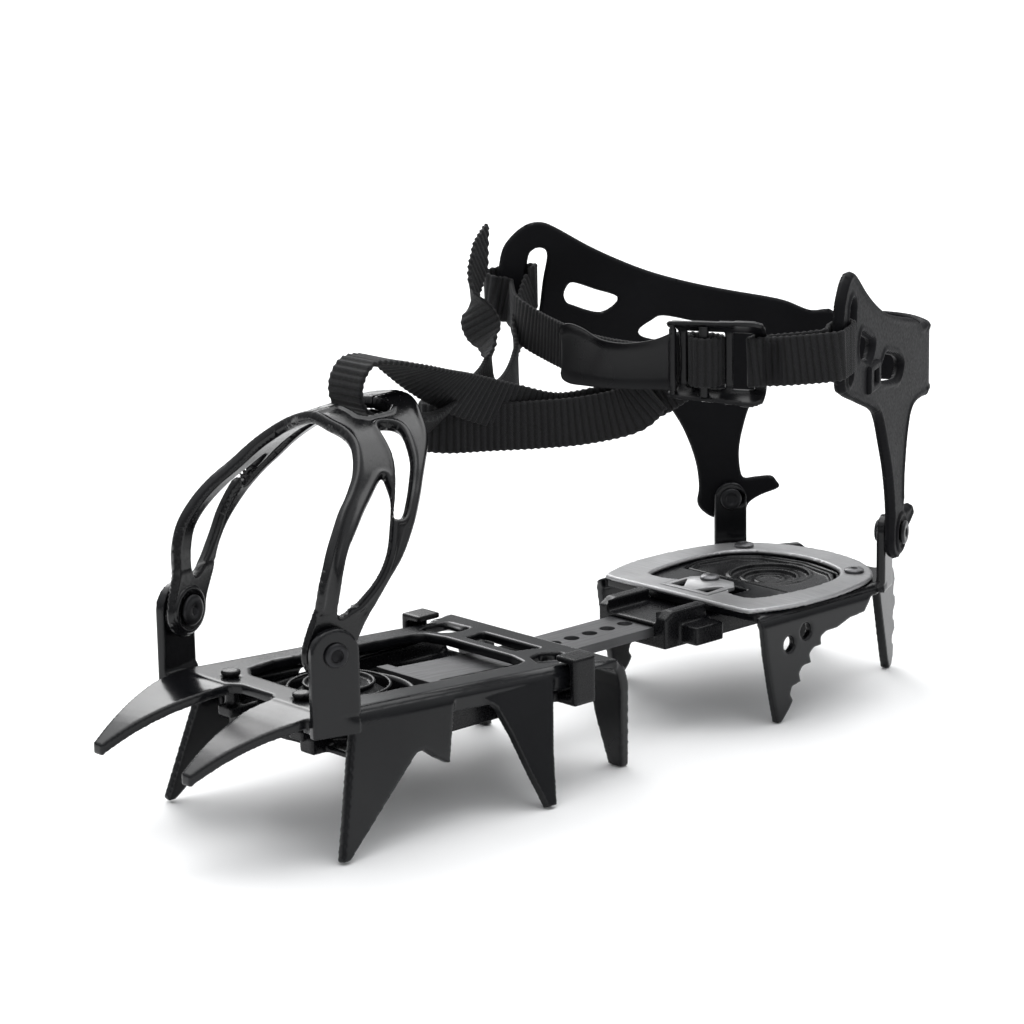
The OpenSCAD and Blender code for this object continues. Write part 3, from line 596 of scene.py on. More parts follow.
def arch_table():
    """Arc length, place and outward direction along the limb's middle surface."""
    rows = np.array(catmull([list(p) for p in ARCH], 12))
    slope = np.gradient(rows, axis=0)
    slope /= np.hypot(slope[:, 0], slope[:, 1])[:, None]
    out = np.stack([slope[:, 1], -slope[:, 0]], 1)
    outer = rows - out * (POST_GAP / 2)
    along = np.concatenate([[0], np.cumsum(np.hypot(*np.diff(outer, axis=0).T))])
    return along, outer, out


ALONG, OUTER, OUTWARD = arch_table()
HIGH = OUTER[:, 1] > 20


def side_uv(points):
    """Side-view points (y, z) from the rivet as (arc length, y)."""
    return [(float(np.interp(z, OUTER[:, 1], ALONG)), y) for y, z in points]


def plan_uv(points):
    """Plan points (x, y) of the crown as (arc length, y)."""
    out = []
    for x, y in points:
        p = turn_z((x - TOE_PIN.x, y - TOE_PIN.y, 0), CAGE_TURN)
        out.append((float(np.interp(-p.x, -OUTER[HIGH, 0], ALONG[HIGH])), p.y))
    return out


LIMB_LOW = [(38.0, 46.2), (32.8, 38.4), (28.8, 32.2), (23.9, 24.7), (18.6, 17.6), (14.7, 11.5), (11.4, 6.2),
            (9, 1.4),
            (8.2, -3), (5.4, -6.6), (0, -8.4), (-5.4, -6.6), (-8.1, -2), (-7.4, 3), (-5.6, 8), (-3.9, 12),
            (-2.6, 19.2), (0, 27.1), (3.1, 32.7), (7.4, 38.5), (12.2, 43.1)]
CROWN_FRONT = [(24.1, 23.6), (18.1, 28.2), (12.3, 29.4), (6.5, 28.3), (-0.7, 28)]
CROWN_REAR = [(-0.7, 63.4), (5, 62.8), (10.6, 60.4), (17, 56.6), (24.6, 51.8)]
WINDOW = [(3.1, 10.8), (4.9, 21.5), (7.4, 28), (10.9, 32.8), (16, 38.6), (23.2, 44.8), (24.2, 44), (24, 39.3),
          (21.6, 33.2), (19.3, 26.8), (16.1, 20.3), (10.8, 14), (5.6, 10.2)]
SLIT = [(23.6, 35.8), (25.9, 40.2), (28.2, 44.9), (29.9, 50.2), (30.4, 56), (33, 56.6), (36, 55.4),
        (34.6, 49.3),
        (32.4, 44.7), (28.6, 38.8), (26.4, 35.6), (24.8, 34.8)]
CROWN_SLOT = [(-8, 40), (8, 40), (9.4, 41.5), (9.8, 48.5), (8, 51), (-8, 51), (-9.8, 48.5), (-9.4, 41.5)]
centre_end = plan_uv([(-0.7, 28), (-0.7, 63.4)])
limb_path = catmull([list(p) for p in plan_uv(CROWN_REAR) + side_uv(LIMB_LOW) + plan_uv(CROWN_FRONT)], 6)
LIMB_LOOP = [tuple(p) for p in limb_path]
CAGE_HOLES = [rounded(side_uv(WINDOW), 5), rounded(side_uv(SLIT), 5), plan_uv(CROWN_SLOT)]


def cage_field(u, v):
    d = signed(u, v, LIMB_LOOP)
    # the two halves meet at the middle of the crown, which is not a rim
    ends = signed(u, v, [centre_end[0], centre_end[1], (centre_end[1][0] + 30, centre_end[1][1]),
                         (centre_end[0][0] + 30, centre_end[0][1])])
    for hole in CAGE_HOLES:
        d = np.minimum(d, -signed(u, v, hole))
    return np.where(ends > -6, np.minimum(d, 9.0), d)


def cage_point(side):
    def to_point(u, v, h):
        x = np.interp(u, ALONG, OUTER[:, 0]) + np.interp(u, ALONG, OUTWARD[:, 0]) * (h - CAGE_WALL / 2)
        z = np.interp(u, ALONG, OUTER[:, 1]) + np.interp(u, ALONG, OUTWARD[:, 1]) * (h - CAGE_WALL / 2)
        c, q = math.cos(math.radians(CAGE_TURN)), math.sin(math.radians(CAGE_TURN))
        return side_flip(np.stack([TOE_PIN.x + x * c + v * q, TOE_PIN.y - x * q + v * c, TOE_PIN.z + z], 1),
                         side)
    return to_point


def collar(origin, axis, inner, outer):
    """A low raised ring round a rivet."""
    wide = outer - inner
    return lathe([(inner, -0.5), (outer, -0.5), (outer, 0.25), (outer - 0.2 * wide, 0.6),
                  (outer - 0.5 * wide, 0.75),
                  (outer - 0.8 * wide, 0.6), (inner, 0.2)], origin, axis)


cage_parts = []
for side in ("left", "right"):
    cage_parts += [
        sheet_mesh(cage_field, (-0.5, -9.5), (ALONG[-1], 60), cage_point(side), CAGE_WALL / 2,
                   rib=0.62, rib_at=1.35, soft=1.2, calm=[(9.0, 0.0, 11.5)]),
        collar(at_toe((-POST_GAP / 2 - CAGE_WALL, 0, 0), side),
               mirrored(turn_z((-1, 0, 0), -CAGE_TURN), side), 5.4, 7.2)]
cage = new_object("toe_cage_moulding", joined("toe_cage", cage_parts))
smooth_faces(cage.data)
stand_for(cage, "toe_cage", CAGE)


# ---- heel harness -------------------------------------------------------------------
WING = [(-77.3, 77), (-76.3, 86), (-73.3, 91), (-68.3, 95), (-63.3, 96), (-58.3, 94.2), (-47.3, 87.7),
        (-37.3, 82.7), (-27.3, 78.5), (-17.3, 75.3), (-7.3, 72.7), (2.7, 70.5), (12.7, 68.5), (20, 66.6),
        (28, 63.2),
        (36, 62.5), (36, 50), (36, 39), (28, 39), (18.7, 39), (11.7, 37), (7.5, 31), (5.2, 24), (3.8, 17),
        (3.8, 11), (5, 6.2), (9, 6.2), (14.4, 6.4), (16.4, 4.6), (17.3, 2), (11, -0.4), (7, -3), (5, -6.8),
        (-1, -8.2),
        (-5, -7.8), (-8.8, -5.4), (-10.8, -2), (-10.2, 3.6), (-11.4, 12.6), (-15.4, 23.6), (-21.4, 33.6),
        (-27.4, 42.6), (-34, 47), (-52, 53), (-70, 59), (-75.3, 63)]
WING_HOLES = [
    [(-69, 64.4), (-65.6, 63.6), (-64, 66), (-62.6, 76), (-61, 84.6), (-62.5, 87.1), (-65.6, 86.6),
     (-67.6, 82.6)],
    [(-54.8, 68.9), (-55.5, 71.3), (-54.3, 74.1), (-52.1, 75.1), (-45, 72.6), (-37.3, 69.5), (-43.3, 64.9),
     (-52.9, 67.7)],
    [(-30.3, 58.3), (-26, 61.4), (-22.3, 62.9), (-14, 61.2), (-5.3, 58.9), (-0.3, 55.7), (-5.3, 52.2),
     (-17, 53.6),
     (-28.3, 55.7)]]
OUT_FACE = POST_GAP / 2 + HARNESS_WALL
APEX_R = 20.0
SL, SR = math.radians(SPLAY["left"]), math.radians(SPLAY["right"])
WING_OFF = POST_GAP / 2 + HARNESS_WALL / 2
WL = (HEEL_PIN.x + WING_OFF * math.cos(SL), HEEL_PIN.y + WING_OFF * math.sin(SL))
WR = (-HEEL_PIN.x - WING_OFF * math.cos(SR), HEEL_PIN.y + WING_OFF * math.sin(SR))
GAP_X = WL[0] - WR[0] - APEX_R * (math.cos(SL) + math.cos(SR))
GAP_Y = WR[1] - WL[1] + APEX_R * (math.sin(SL) - math.sin(SR))
WING_DET = math.sin(SL + SR)
LEN_L = (GAP_X * math.cos(SR) + GAP_Y * math.sin(SR)) / WING_DET
LEN_R = (GAP_X * math.cos(SL) - GAP_Y * math.sin(SL)) / WING_DET
APEX = (WL[0] - LEN_L * math.sin(SL) - APEX_R * math.cos(SL),
        WL[1] + LEN_L * math.cos(SL) - APEX_R * math.sin(SL))
ARC = APEX_R * (math.pi - SL - SR)
STRIP = LEN_L + ARC + LEN_R


def harness_point(s, v, h):
    """A point of the unrolled harness: s runs from the left rivet round the apex to the right one."""
    turn = np.clip((s - LEN_L) / APEX_R, 0, math.pi - SL - SR) + SL
    nx, ny = np.cos(turn), np.sin(turn)
    before = np.minimum(s - LEN_L, 0)
    after = np.maximum(s - LEN_L - ARC, 0)
    x = APEX[0] + APEX_R * nx - before * math.sin(SL) - after * math.sin(SR)
    y = APEX[1] + APEX_R * ny + before * math.cos(SL) - after * math.cos(SR)
    return np.stack([x + nx * h, y + ny * h, HEEL_PIN.z + v], 1)


def harness_field(s, v):
    outline, holes = rounded(WING, 4), [rounded(w, 4) for w in WING_HOLES]
    out = signed(s, v, [(26, 39), (STRIP - 26, 39), (STRIP - 26, 62.5), (26, 62.5)])
    for along in (s, STRIP - s):
        d = signed(along, v, outline)
        for hole in holes:
            d = np.minimum(d, -signed(along, v, hole))
        out = np.maximum(out, d)
    return out


def wing_plane(side, face):
    def to_point(u, v, h):
        c, q = math.cos(math.radians(SPLAY[side])), math.sin(math.radians(SPLAY[side]))
        x = face + h
        return side_flip(np.stack([HEEL_PIN.x + x * c - u * q, HEEL_PIN.y + x * q + u * c, HEEL_PIN.z + v],
                                  1), side)
    return to_point


def boss_field(u, v):
    outer = signed(u, v, rounded([(-46, 55.6), (-45, 54.6), (-34, 54.6), (-33, 55.6), (-33, 62.6),
                                  (-34, 63.6),
                                  (-45, 63.6), (-46, 62.6)], 3))
    return np.minimum(outer, -signed(u, v, [(-42, 57.1), (-36.5, 57.1), (-36.5, 61.1), (-42, 61.1)]))


harness_parts = [sheet_mesh(harness_field, (-78, -9), (STRIP + 78, 97), harness_point, HARNESS_WALL / 2,
                            rib=0.5, rib_at=1.5, soft=0.9, cell=0.6,
                            calm=[(0.0, 0.0, 8.0), (STRIP, 0.0, 8.0)])]
for side in ("left", "right"):
    harness_parts += [
        sheet_mesh(boss_field, (-47, 54), (-32, 64.5), wing_plane(side, OUT_FACE + 0.3), 1.1, soft=0.8,
                   cell=0.3),
        collar(at_heel((OUT_FACE - 0.05, 0, 0), side), mirrored(turn_z((1, 0, 0), SPLAY[side]), side), 5.0,
               6.8)]
harness = new_object("heel_harness_moulding", joined("heel_harness", harness_parts))
smooth_faces(harness.data)
stand_for(harness, "heel_harness", HARNESS)


# ---- plastic mouldings ----------------------------------------------------------------
def ring(centre, radius, bead, count=72):
    return tube([(centre[0] + radius * math.cos(2 * math.pi * k / count),
                  centre[1] + radius * math.sin(2 * math.pi * k / count), centre[2])
                 for k in range(count)], bead, True)


dome_rings = [ring((0, 35.5, 34.2), 22.3, 0.9), ring((0, 35.5, 37.2), 15.2, 0.7),
              ring((0, 35.5, 38.2), 10.4, 0.7), ring((0, 35.5, 38.8), 5.4, 0.7)]
stand_for(moulded("front_antiball", "front_antiball_moulding", dome_rings, voxel=0.5, rounds=9),
          "front_antiball", PLASTIC)
bowl_rings = [ring((0, 221.5, BAR_TOP + 3.2), 13.4, 0.7), ring((0, 221.5, BAR_TOP + 2.3), 9.1, 0.6),
              ring((0, 221.5, BAR_TOP + 1.5), 4.6, 0.6)]
stand_for(moulded("heel_antiball", "heel_antiball_moulding", bowl_rings, voxel=0.4, rounds=3),
          "heel_antiball", PLASTIC)
stand_for(moulded("adjuster_housing", "adjuster_housing_moulding", (), voxel=0.4, rounds=14),
          "adjuster_housing", PLASTIC)


def tongue_hump(p):
    """The tongue rises toward its pin, as a pressed spring does."""
    rise = 1.3 * math.exp(-((p.y - 191.5) / 5.0) ** 2) * math.exp(-(p.x / 7.5) ** 4)
    return Vector((p.x, p.y, p.z + rise))


stand_for(moulded("lock_tongue", "lock_tongue_pressing", (), voxel=0.3, rounds=3, shape=tongue_hump),
          "lock_tongue", RIM)


# ---- rivets, screws and pin ----------------------------------------------------------------
def rivet_head(outer, height, hole, depth):
    """Half profile of a domed head with a sunk middle, from its back edge round to the hole."""
    return [(outer * 0.96, 0), (outer, height * 0.18), (outer, height * 0.55), (outer * 0.93, height * 0.85),
            (outer * 0.8, height), (hole * 1.25, height), (hole, height * 0.88),
            (hole * 0.92, height - depth),
            (0, height - depth)]


def rivet(name, node, origin, direction, near, far):
    """near and far are (distance along the axis, head radius, hole radius) of the two heads."""
    axis = Vector(direction).normalized()
    o = Vector(origin)
    meshes = [lathe(rivet_head(near[1], 1.3, near[2], 0.9), o + axis * near[0], axis),
              lathe(rivet_head(far[1], 1.3, far[2], 0.35), o - axis * far[0], -axis),
              lathe([(RIVET_R, -far[0] - 0.4), (RIVET_R, near[0] + 0.4)], o, axis)]
    ob = new_object(name, joined(name, meshes))
    smooth_faces(ob.data)
    edges = ob.modifiers.new("edges", "EDGE_SPLIT")
    edges.split_angle = math.radians(40)
    return baked(ob)


TOE_OUT = POST_GAP / 2 + PLATE + 0.05
TOE_IN = POST_GAP / 2 + CAGE_WALL + 0.7
HEEL_OUT = OUT_FACE + 0.6
for side in ("left", "right"):
    toe_axis = mirrored(turn_z((1, 0, 0), -CAGE_TURN), side)
    stand_for(rivet(f"toe_rivet_{side}_turned", f"toe_rivet_{side}", mirrored(TOE_PIN, side), toe_axis,
                    (TOE_OUT, 3.6, 1.9), (TOE_IN, 4.6, 1.2)), f"toe_rivet_{side}", PLATED)
    heel_axis = mirrored(turn_z((1, 0, 0), SPLAY[side]), side)
    stand_for(rivet(f"heel_rivet_{side}_turned", f"heel_rivet_{side}", mirrored(HEEL_PIN, side), heel_axis,
                    (HEEL_OUT, 3.9, 1.5), (TOE_OUT, 3.6, 1.7)), f"heel_rivet_{side}", PLATED)
    at = mirrored(Vector((24.8, 235.4, 0)), side)
    head = [(3.1, RIM_TOP + 0.05), (3.3, RIM_TOP + 0.25), (3.25, RIM_TOP + 0.8), (2.7, RIM_TOP + 1.2),
            (1.35, RIM_TOP + 1.35), (1.2, RIM_TOP + 1.25), (1.1, RIM_TOP + 0.6), (0, RIM_TOP + 0.6)]
    shank = [(1.8, 31.6), (1.8, RIM_TOP + 0.3)]
    nut = [(2.7, 31.5), (3.0, 31.7), (3.0, 33.2)]
    made = new_object(f"heel_screw_{side}_turned", joined("screw", [
        lathe(head, at, (0, 0, 1)), lathe(shank, at, (0, 0, 1)), lathe(nut, at, (0, 0, 1), 6)]))
    smooth_faces(made.data)
    made.modifiers.new("edges", "EDGE_SPLIT").split_angle = math.radians(40)
    stand_for(baked(made), f"heel_screw_{side}", SCREW)

pin_low = BAR_TOP + 0.35
pin = new_object("lock_pin_turned", lathe(
    [(1.7, pin_low), (2.2, pin_low + 0.5), (2.2, pin_low + 3.6), (1.95, pin_low + 3.7), (1.95, 39.2),
     (3.0, 39.3), (3.2, 39.5), (3.2, 40.0), (2.7, 40.5), (1.4, 40.8), (0, 40.85)], (0, LOCK_Y, 0), (0, 0, 1)))
smooth_faces(pin.data)
pin.modifiers.new("edges", "EDGE_SPLIT").split_angle = math.radians(40)
stand_for(baked(pin), "lock_pin", SCREW)


# ---- buckle lever -----------------------------------------------------------------------------
LEVER = [(-50, -5.5, 7.6, -3.2), (-49.3, -7.4, 9.4, -3.4), (-46.5, -8.6, 10.2, -3.8), (-42, -8.9, 8.8, -4.2),
         (-37, -9.2, 6.0, -4.3), (-31, -9.4, 4.9, -3.9), (-25, -9.4, 5.2, -3.3), (-19, -9.2, 6.6, -2.9),
         (-14.6, -9.1, 8.6, -2.8)]


LEVER_PIVOT = (-14.6, -2.8, 0)


def lever_mesh():
    """A thin pressed sheet, slightly dished, with a rolled edge at its pivot and a lip on top."""
    verts, faces = [], []
    stations = catmull([list(r) for r in LEVER], 4)
    count = 10
    for x, low, high, y in stations:
        for face in (-0.55, 0.55):
            for k in range(count):
                t = k / (count - 1)
                z = low + (high - low) * t
                lip = 1.5 * max(0.0, t - 0.88) / 0.12 + 0.8 * max(0.0, 0.1 - t) / 0.1
                verts.append(at_buckle((x, y + face - lip + 0.5 * math.cos((t - 0.5) * math.pi), z)))
    ring_size = 2 * count
    order = list(range(count)) + list(range(ring_size - 1, count - 1, -1))
    for i in range(len(stations) - 1):
        for k in range(ring_size):
            a, b = order[k], order[(k + 1) % ring_size]
            faces.append((i * ring_size + a, i * ring_size + b, (i + 1) * ring_size + b,
                          (i + 1) * ring_size + a))
    last = (len(stations) - 1) * ring_size
    faces.append(tuple(order))
    faces.append(tuple(last + k for k in order))
    return mesh_of("lever", verts, faces)


pivot = lathe([(0.9, -10.8), (0.9, -9.6), (1.2, -9.5), (1.2, 9.5), (0.9, 9.6), (0.9, 10.8)],
              at_buckle(LEVER_PIVOT), (0, 0, 1), 24)
lever = new_object("buckle_lever", joined("buckle_lever", [lever_mesh(), pivot]))
smooth_faces(lever.data)
lever.modifiers.new("edges", "EDGE_SPLIT").split_angle = math.radians(40)
stand_for(baked(lever), "buckle_tab", BUCKLE_BLACK)


# ---- webbing ------------------------------------------------------------------------------------
def walk(points, wides, step=0.36):
    """Even steps along the smooth curve: (point, width direction, distance along), in mm."""
    rows = catmull([list(p) + list(w) for p, w in zip(points, wides)], 24)
    out, travelled, due = [], 0.0, 0.0
    for a, b in zip(rows, rows[1:]):
        pa, pb = Vector(a[:3]), Vector(b[:3])
        length = (pb - pa).length
        while length > 0 and due <= travelled + length:
            t = (due - travelled) / length
            out.append((pa.lerp(pb, t), Vector(a[3:]).lerp(Vector(b[3:]), t), due))
            due += step
        travelled += length
    return out


def band_mesh(name, rows, taper_from=None, caps=(True, True)):
    """Woven tape along the rows: cross ribs are real, and the two edges are a little thicker."""
    across = [-1.0, -0.93, -0.8, -0.4, 0.0, 0.4, 0.8, 0.93, 1.0]
    thick = [0.45, 0.92, 0.84, 0.84, 0.84, 0.84, 0.84, 0.92, 0.45]
    verts, uvs, faces = [], [], []
    n = len(rows)
    for i, (p, wide, s) in enumerate(rows):
        ahead = rows[min(i + 1, n - 1)][0] - rows[max(i - 1, 0)][0]
        tangent = ahead.normalized()
        w = (wide - tangent * wide.dot(tangent)).normalized()
        up = tangent.cross(w)
        half = STRAP_W / 2
        shift = 0.0
        if taper_from is not None and s > taper_from:
            cut = min((s - taper_from) / 9.0, 1.0)
            half *= 1 - 0.82 * cut
            shift = STRAP_W / 2 * 0.55 * cut
        rib = 0.22 * math.sin(2 * math.pi * s / RIB_PITCH)
        half += 0.16 * math.sin(2 * math.pi * s / RIB_PITCH)
        for face in (1, -1):
            for u, h in (zip(across, thick) if face == 1 else zip(across[::-1], thick[::-1])):
                lift = (STRAP_T / 2 * h + rib * (1 if abs(u) < 0.97 else 0)) * face
                verts.append(p + w * (u * half + shift) + up * lift)
                uvs.append((s, u * half + (40 if face < 0 else 0)))
    size = 2 * len(across)
    for i in range(n - 1):
        for k in range(size):
            m = (k + 1) % size
            faces.append((i * size + k, i * size + m, (i + 1) * size + m, (i + 1) * size + k))
    if caps[0]:
        faces.append(tuple(range(size)))
    if caps[1]:
        faces.append(tuple(range((n - 1) * size, n * size)))
    me = bpy.data.meshes.new(name)
    me.from_pydata([place(v) for v in verts], [], faces)
    layer = me.uv_layers.new(name="weave")
    for loop in me.loops:
        layer.data[loop.index].uv = uvs[loop.vertex_index]
    bm = bmesh.new()
    bm.from_mesh(me)
    bmesh.ops.recalc_face_normals(bm, faces=bm.faces)
    bm.to_mesh(me)
    bm.free()
    smooth_faces(me)
    return me


def strap_piece(name, rows, bodies, start=None, end=None, node="ankle_strap", **more):
    """One stretch of tape: it rides on one body, or with two bodies it stays in place unattached."""
    ob = new_object(name, band_mesh(name, rows, **more))
    paint(ob, WEB)
    if len(bodies) == 1:
        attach(ob, bodies[0])
    else:
        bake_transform(ob)
    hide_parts(node)
    return ob


def far_wing(x, y, z):
    return at_heel((x, y, z), "right")


UP = (0.0, 0.0, 1.0)
ACROSS = (1.0, 0.0, 0.0)
SLANT = (0.5, 0.0, 1.0)
FIXED_RUN = [(30, 151.4, 121), (26, 151.6, 119), (4, 155, 116), (-22, 160, 115), (-50, 167, 117),
             (-66, 170.5, 120.4),
             far_wing(-2.2, -74, 70), far_wing(-1.8, -79.6, 71.5), far_wing(1.95, -81.6, 72.5),
             far_wing(4.9, -79, 73), far_wing(5.1, -72, 73.8), far_wing(4.5, -66.6, 74.2),
             far_wing(1.95, -65, 74.4), far_wing(-1.3, -66.8, 74)]
TOE_RUN = [far_wing(-1.3, -66.8, 74), (-69, 173, 114), (-60, 164, 104.5), (-46, 145, 99.8), (-28, 114, 103.6),
           (-12, 88, 108.4), (-3, 70, 112.6), (-1, 57, 115), (-0.5, 48, 116.6), (-0.5, 42.6, 121),
           (-0.5, 42.4, 127.4),
           (-0.5, 47, 132.4), (-0.8, 56, 131.6), (-1.6, 65, 127.6), (-3.4, 77.5, 121.4), (-6.4, 94.2, 114.4),
           (-5.6, 111.7, 108), (1, 124, 104.2), (10, 134.5, 105.8), (20, 145, 110), (29.6, 149.4, 116.6)]
TOE_WIDE = ([UP] * 4 + [SLANT, (1, 0, 0.8)] + [ACROSS] * 7 + [(1, 0, 0.3), (1, 0, 0.8), SLANT, (0.15, 0, 1)]
            + [UP] * 4)
TAIL_RUN = [at_buckle((-22.5, -0.2, -10.4)), (18, 139.4, 106.4), (9, 129, 103.4), (0, 117, 102.6),
            (-8, 105, 102.6),
            (-14.5, 93.6, 102.8), (-21.5, 89.6, 103.2), (-26.5, 95.5, 103.2), (-33, 108, 103),
            (-43, 130, 103),
            (-50, 143, 107.4), (-54.6, 147, 117.2), (-61, 146.8, 129.5), (-66, 153.9, 140.1),
            (-70, 163.4, 148.6)]


def split_rows(rows, key, marks):
    """Cuts the rows where key first passes each mark in turn; neighbours share one row."""
    pieces, first = [], 0
    for mark, falling in marks:
        i = first
        while i < len(rows) - 1 and (key(rows[i][0]) > mark if falling else key(rows[i][0]) < mark):
            i += 1
        pieces.append(rows[first:i + 1])
        first = i
    pieces.append(rows[first:])
    return pieces


def by_y(p):
    return p.y


def plane(y):
    return (0.0, y, 110.0)


(far_top, far_low, far_mid, bridge_a, cage_top, bridge_b, near_mid, near_up, buckle_end) = split_rows(
    walk(TOE_RUN, TOE_WIDE), by_y,
    [(165, True), (148, True), (86, True), (62, True), (64, False), (86, False), (112, False), (119, False)])
strap_piece("strap_far_top", far_top, ["harness"], caps=(True, False))
strap_piece("strap_far_low", far_low, ["harness", "heel_section"], plane(165), plane(148),
            caps=(False, False))
strap_piece("strap_far_mid", far_mid, ["heel_section", "front_section"], plane(148), plane(86),
            caps=(False, False))
strap_piece("strap_far_toe", bridge_a, ["front_section", "toe_cage_body"], plane(86), plane(62),
            caps=(False, False))
strap_piece("strap_over_cage", cage_top, ["toe_cage_body"], caps=(False, False))
strap_piece("strap_near_toe", bridge_b, ["toe_cage_body", "front_section"], plane(64), plane(86),
            caps=(False, False))
strap_piece("strap_near_mid", near_mid, ["front_section", "heel_section"], plane(86), plane(112),
            caps=(False, False))
strap_piece("strap_near_up", near_up, ["heel_section", "harness"], plane(112), plane(119),
            caps=(False, False))
strap_piece("strap_buckle_end", buckle_end, ["harness", "buckle"], plane(119), plane(134), caps=(False, True))

fixed = walk(FIXED_RUN, [UP] * len(FIXED_RUN))
fixed_start, fixed_rest = split_rows(fixed, lambda p: p.x, [(2, True)])
strap_piece("strap_fixed_start", fixed_start, ["buckle", "harness"], (30, 150, 119), (4, 150, 119),
            caps=(True, False))
strap_piece("strap_fixed_rest", fixed_rest, ["harness"], caps=(False, True))

tail = walk(TAIL_RUN, [UP] * len(TAIL_RUN))
tail_start, tail_rest = split_rows(tail, lambda p: p.x, [(-13, True)])
strap_piece("strap_tail_start", tail_start, ["buckle", "harness"], (2, 120, 103), (-13, 120, 103),
            caps=(True, False))
strap_piece("strap_tail_end", tail_rest, ["harness"], taper_from=tail[-1][2] - 10.0, caps=(False, True))


def near_wing(x, y, z):
    return at_heel((x, y, z), "left")


LOOP = [at_buckle((8.7, 0.2, 0)), at_buckle((9.2, 1.9, 0.1)), at_buckle((11.5, 2.5, 0.3)),
        at_buckle((16, 1.6, 0.8)), near_wing(-2.1, -79.5, 73.4),
        near_wing(-1.6, -72, 74), near_wing(-0.8, -67.6, 74.2), near_wing(1.5, -65.1, 74.4),
        near_wing(4, -65.7, 74.2),
        near_wing(OUT_FACE + 1.7, -70, 74), near_wing(OUT_FACE + 1.6, -76, 73.8),
        near_wing(OUT_FACE, -81.5, 73.4),
        at_buckle((22, -1.6, 1.2)), at_buckle((14, -2.2, 0.6)), at_buckle((10.4, -2.3, 0.2)),
        at_buckle((8.9, -1.4, 0)),
        at_buckle((8.7, 0.2, 0))]
loop_rows = walk(LOOP, [UP] * len(LOOP))
strap_piece("buckle_loop", loop_rows, ["harness", "buckle"], near_wing(2, -76, 73), near_wing(2, -90, 73),
            node="buckle_strap")


WRAP = [at_buckle(q) for q in (
    (-17, 3.4, -0.6), (-12, 2.4, -0.3), (-9.9, 0.4, 0), (-9.0, -2.6, 0), (-7.4, -5.0, 0), (-4.7, -6.2, 0),
    (-2.0, -5.2, 0), (-0.5, -2.8, 0), (0.2, 0.2, 0), (-1.4, 2.6, 0), (-7, 4.5, 0), (-17, 5.2, -0.4))]
strap_piece("strap_over_bar", walk(WRAP, [UP] * len(WRAP)), ["buckle"])


def bar_tack(x):
    """A close zigzag of thread across the loop, where its two layers are sewn together."""
    pts = []
    for k in range(45):
        z = -5.9 + 12.0 * k / 44
        pts.append(at_buckle((x + (0.38 if k % 2 else -0.38), -3.05, z + 0.6)))
    return tube(pts, 0.17, sides=5)


tacks = new_object("bar_tacks", joined("bar_tacks", [bar_tack(14.2 + k * 1.6) for k in range(4)]))
smooth_faces(tacks.data)
stand_for(tacks, "strap_stitching", THREAD)


# ---- floor, light and camera ----------------------------------------------------------------------
floor_mesh = bpy.data.meshes.new("floor")
floor_mesh.from_pydata([(-6, -6, 0), (6, -6, 0), (6, 6, 0), (-6, 6, 0)], [], [(0, 1, 2, 3)])
floor = new_object("floor", floor_mesh)
floor.location.z = -0.0003
sheet = Shade("pale_floor", (0.90, 0.90, 0.90), 0.5, spec=0.10)
paint(floor, sheet.finish(rough=sheet.remap(sheet.noise(8.0), 0.3, 0.7, 0.45, 0.6)))

world = bpy.data.worlds.new("studio")
world.use_nodes = True
sky = world.node_tree
sky.nodes["Background"].inputs["Color"].default_value = (0.97, 0.985, 1.0, 1)
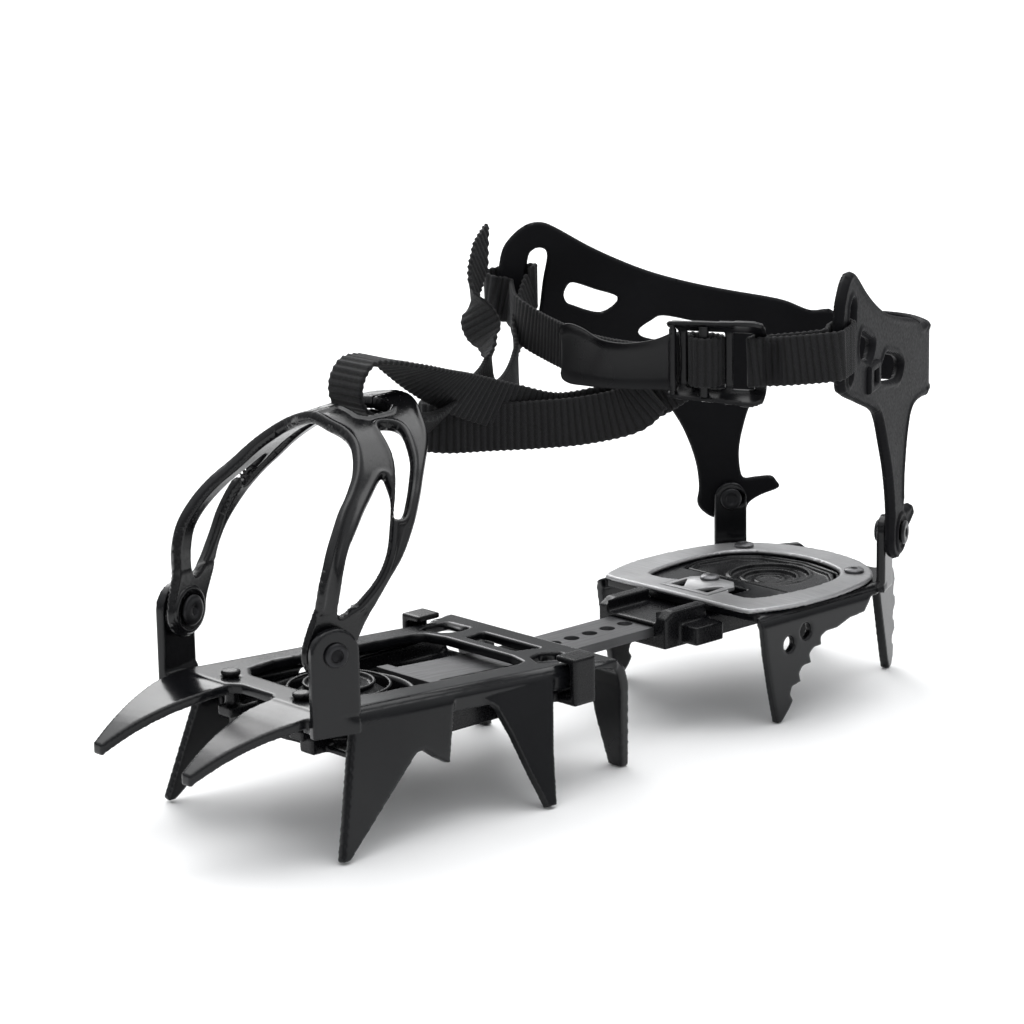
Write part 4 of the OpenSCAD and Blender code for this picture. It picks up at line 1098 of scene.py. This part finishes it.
# brighter overhead than at the horizon, as under a studio ceiling of cloth
heading = sky.nodes.new("ShaderNodeSeparateXYZ")
sky.links.new(sky.nodes.new("ShaderNodeTexCoord").outputs["Generated"], heading.inputs[0])
glow = sky.nodes.new("ShaderNodeMapRange")
for key, value in (("From Min", 0.12), ("From Max", 0.7), ("To Min", 0.26), ("To Max", 0.95)):
    glow.inputs[key].default_value = value
sky.links.new(heading.outputs[2], glow.inputs["Value"])
sky.links.new(glow.outputs["Result"], sky.nodes["Background"].inputs["Strength"])
bpy.context.scene.world = world
bpy.context.scene.view_settings.view_transform = "Standard"
bpy.context.scene.view_settings.look = "None"


def softbox(name, at, target, width, height, watts):
    data = bpy.data.lights.new(name, "AREA")
    data.shape = "RECTANGLE"
    data.size, data.size_y, data.energy = width, height, watts
    ob = bpy.data.objects.new(name, data)
    bpy.context.scene.collection.objects.link(ob)
    ob.location = at
    ob.rotation_euler = (Vector(target) - Vector(at)).to_track_quat("-Z", "Y").to_euler()


sun_data = bpy.data.lights.new("overhead", "SUN")
sun_data.energy = 1.75
sun_data.angle = math.radians(75)
sun = bpy.data.objects.new("overhead", sun_data)
bpy.context.scene.collection.objects.link(sun)
sun.rotation_euler = Vector((0.35, -0.30, -1.0)).to_track_quat("-Z", "Y").to_euler()

softbox("top", (0.0, 0.15, 1.5), (0.0, 0.0, 0.0), 1.3, 1.3, 5.0)
softbox("back_left", (-1.1, 0.5, 0.8), (0.0, 0.0, 0.08), 0.7, 0.9, 7.0)
softbox("front_right", (1.3, -0.2, 0.7), (0.0, 0.0, 0.05), 0.5, 0.8, 0.8)

AZIMUTH, ELEVATION, ROLL = (math.radians(a) for a in (47.41, 13.58, -1.06))
back = Vector((math.sin(AZIMUTH) * math.cos(ELEVATION), -math.cos(AZIMUTH) * math.cos(ELEVATION),
               math.sin(ELEVATION)))
level = Vector((math.cos(AZIMUTH), math.sin(AZIMUTH), 0))
upright = back.cross(level)
cam_x = level * math.cos(ROLL) + upright * math.sin(ROLL)
cam_y = upright * math.cos(ROLL) - level * math.sin(ROLL)
camera_data = bpy.data.cameras.new("camera")
camera_data.lens = 119.47
camera_data.sensor_width = 36.0
camera_data.clip_start = 0.05
camera = bpy.data.objects.new("camera", camera_data)
bpy.context.scene.collection.objects.link(camera)
camera.matrix_world = Matrix.Translation(place((743.6, -577.4, 321.0))) @ Matrix(
    (cam_x, cam_y, back)).transposed().to_4x4()
bpy.context.scene.camera = camera
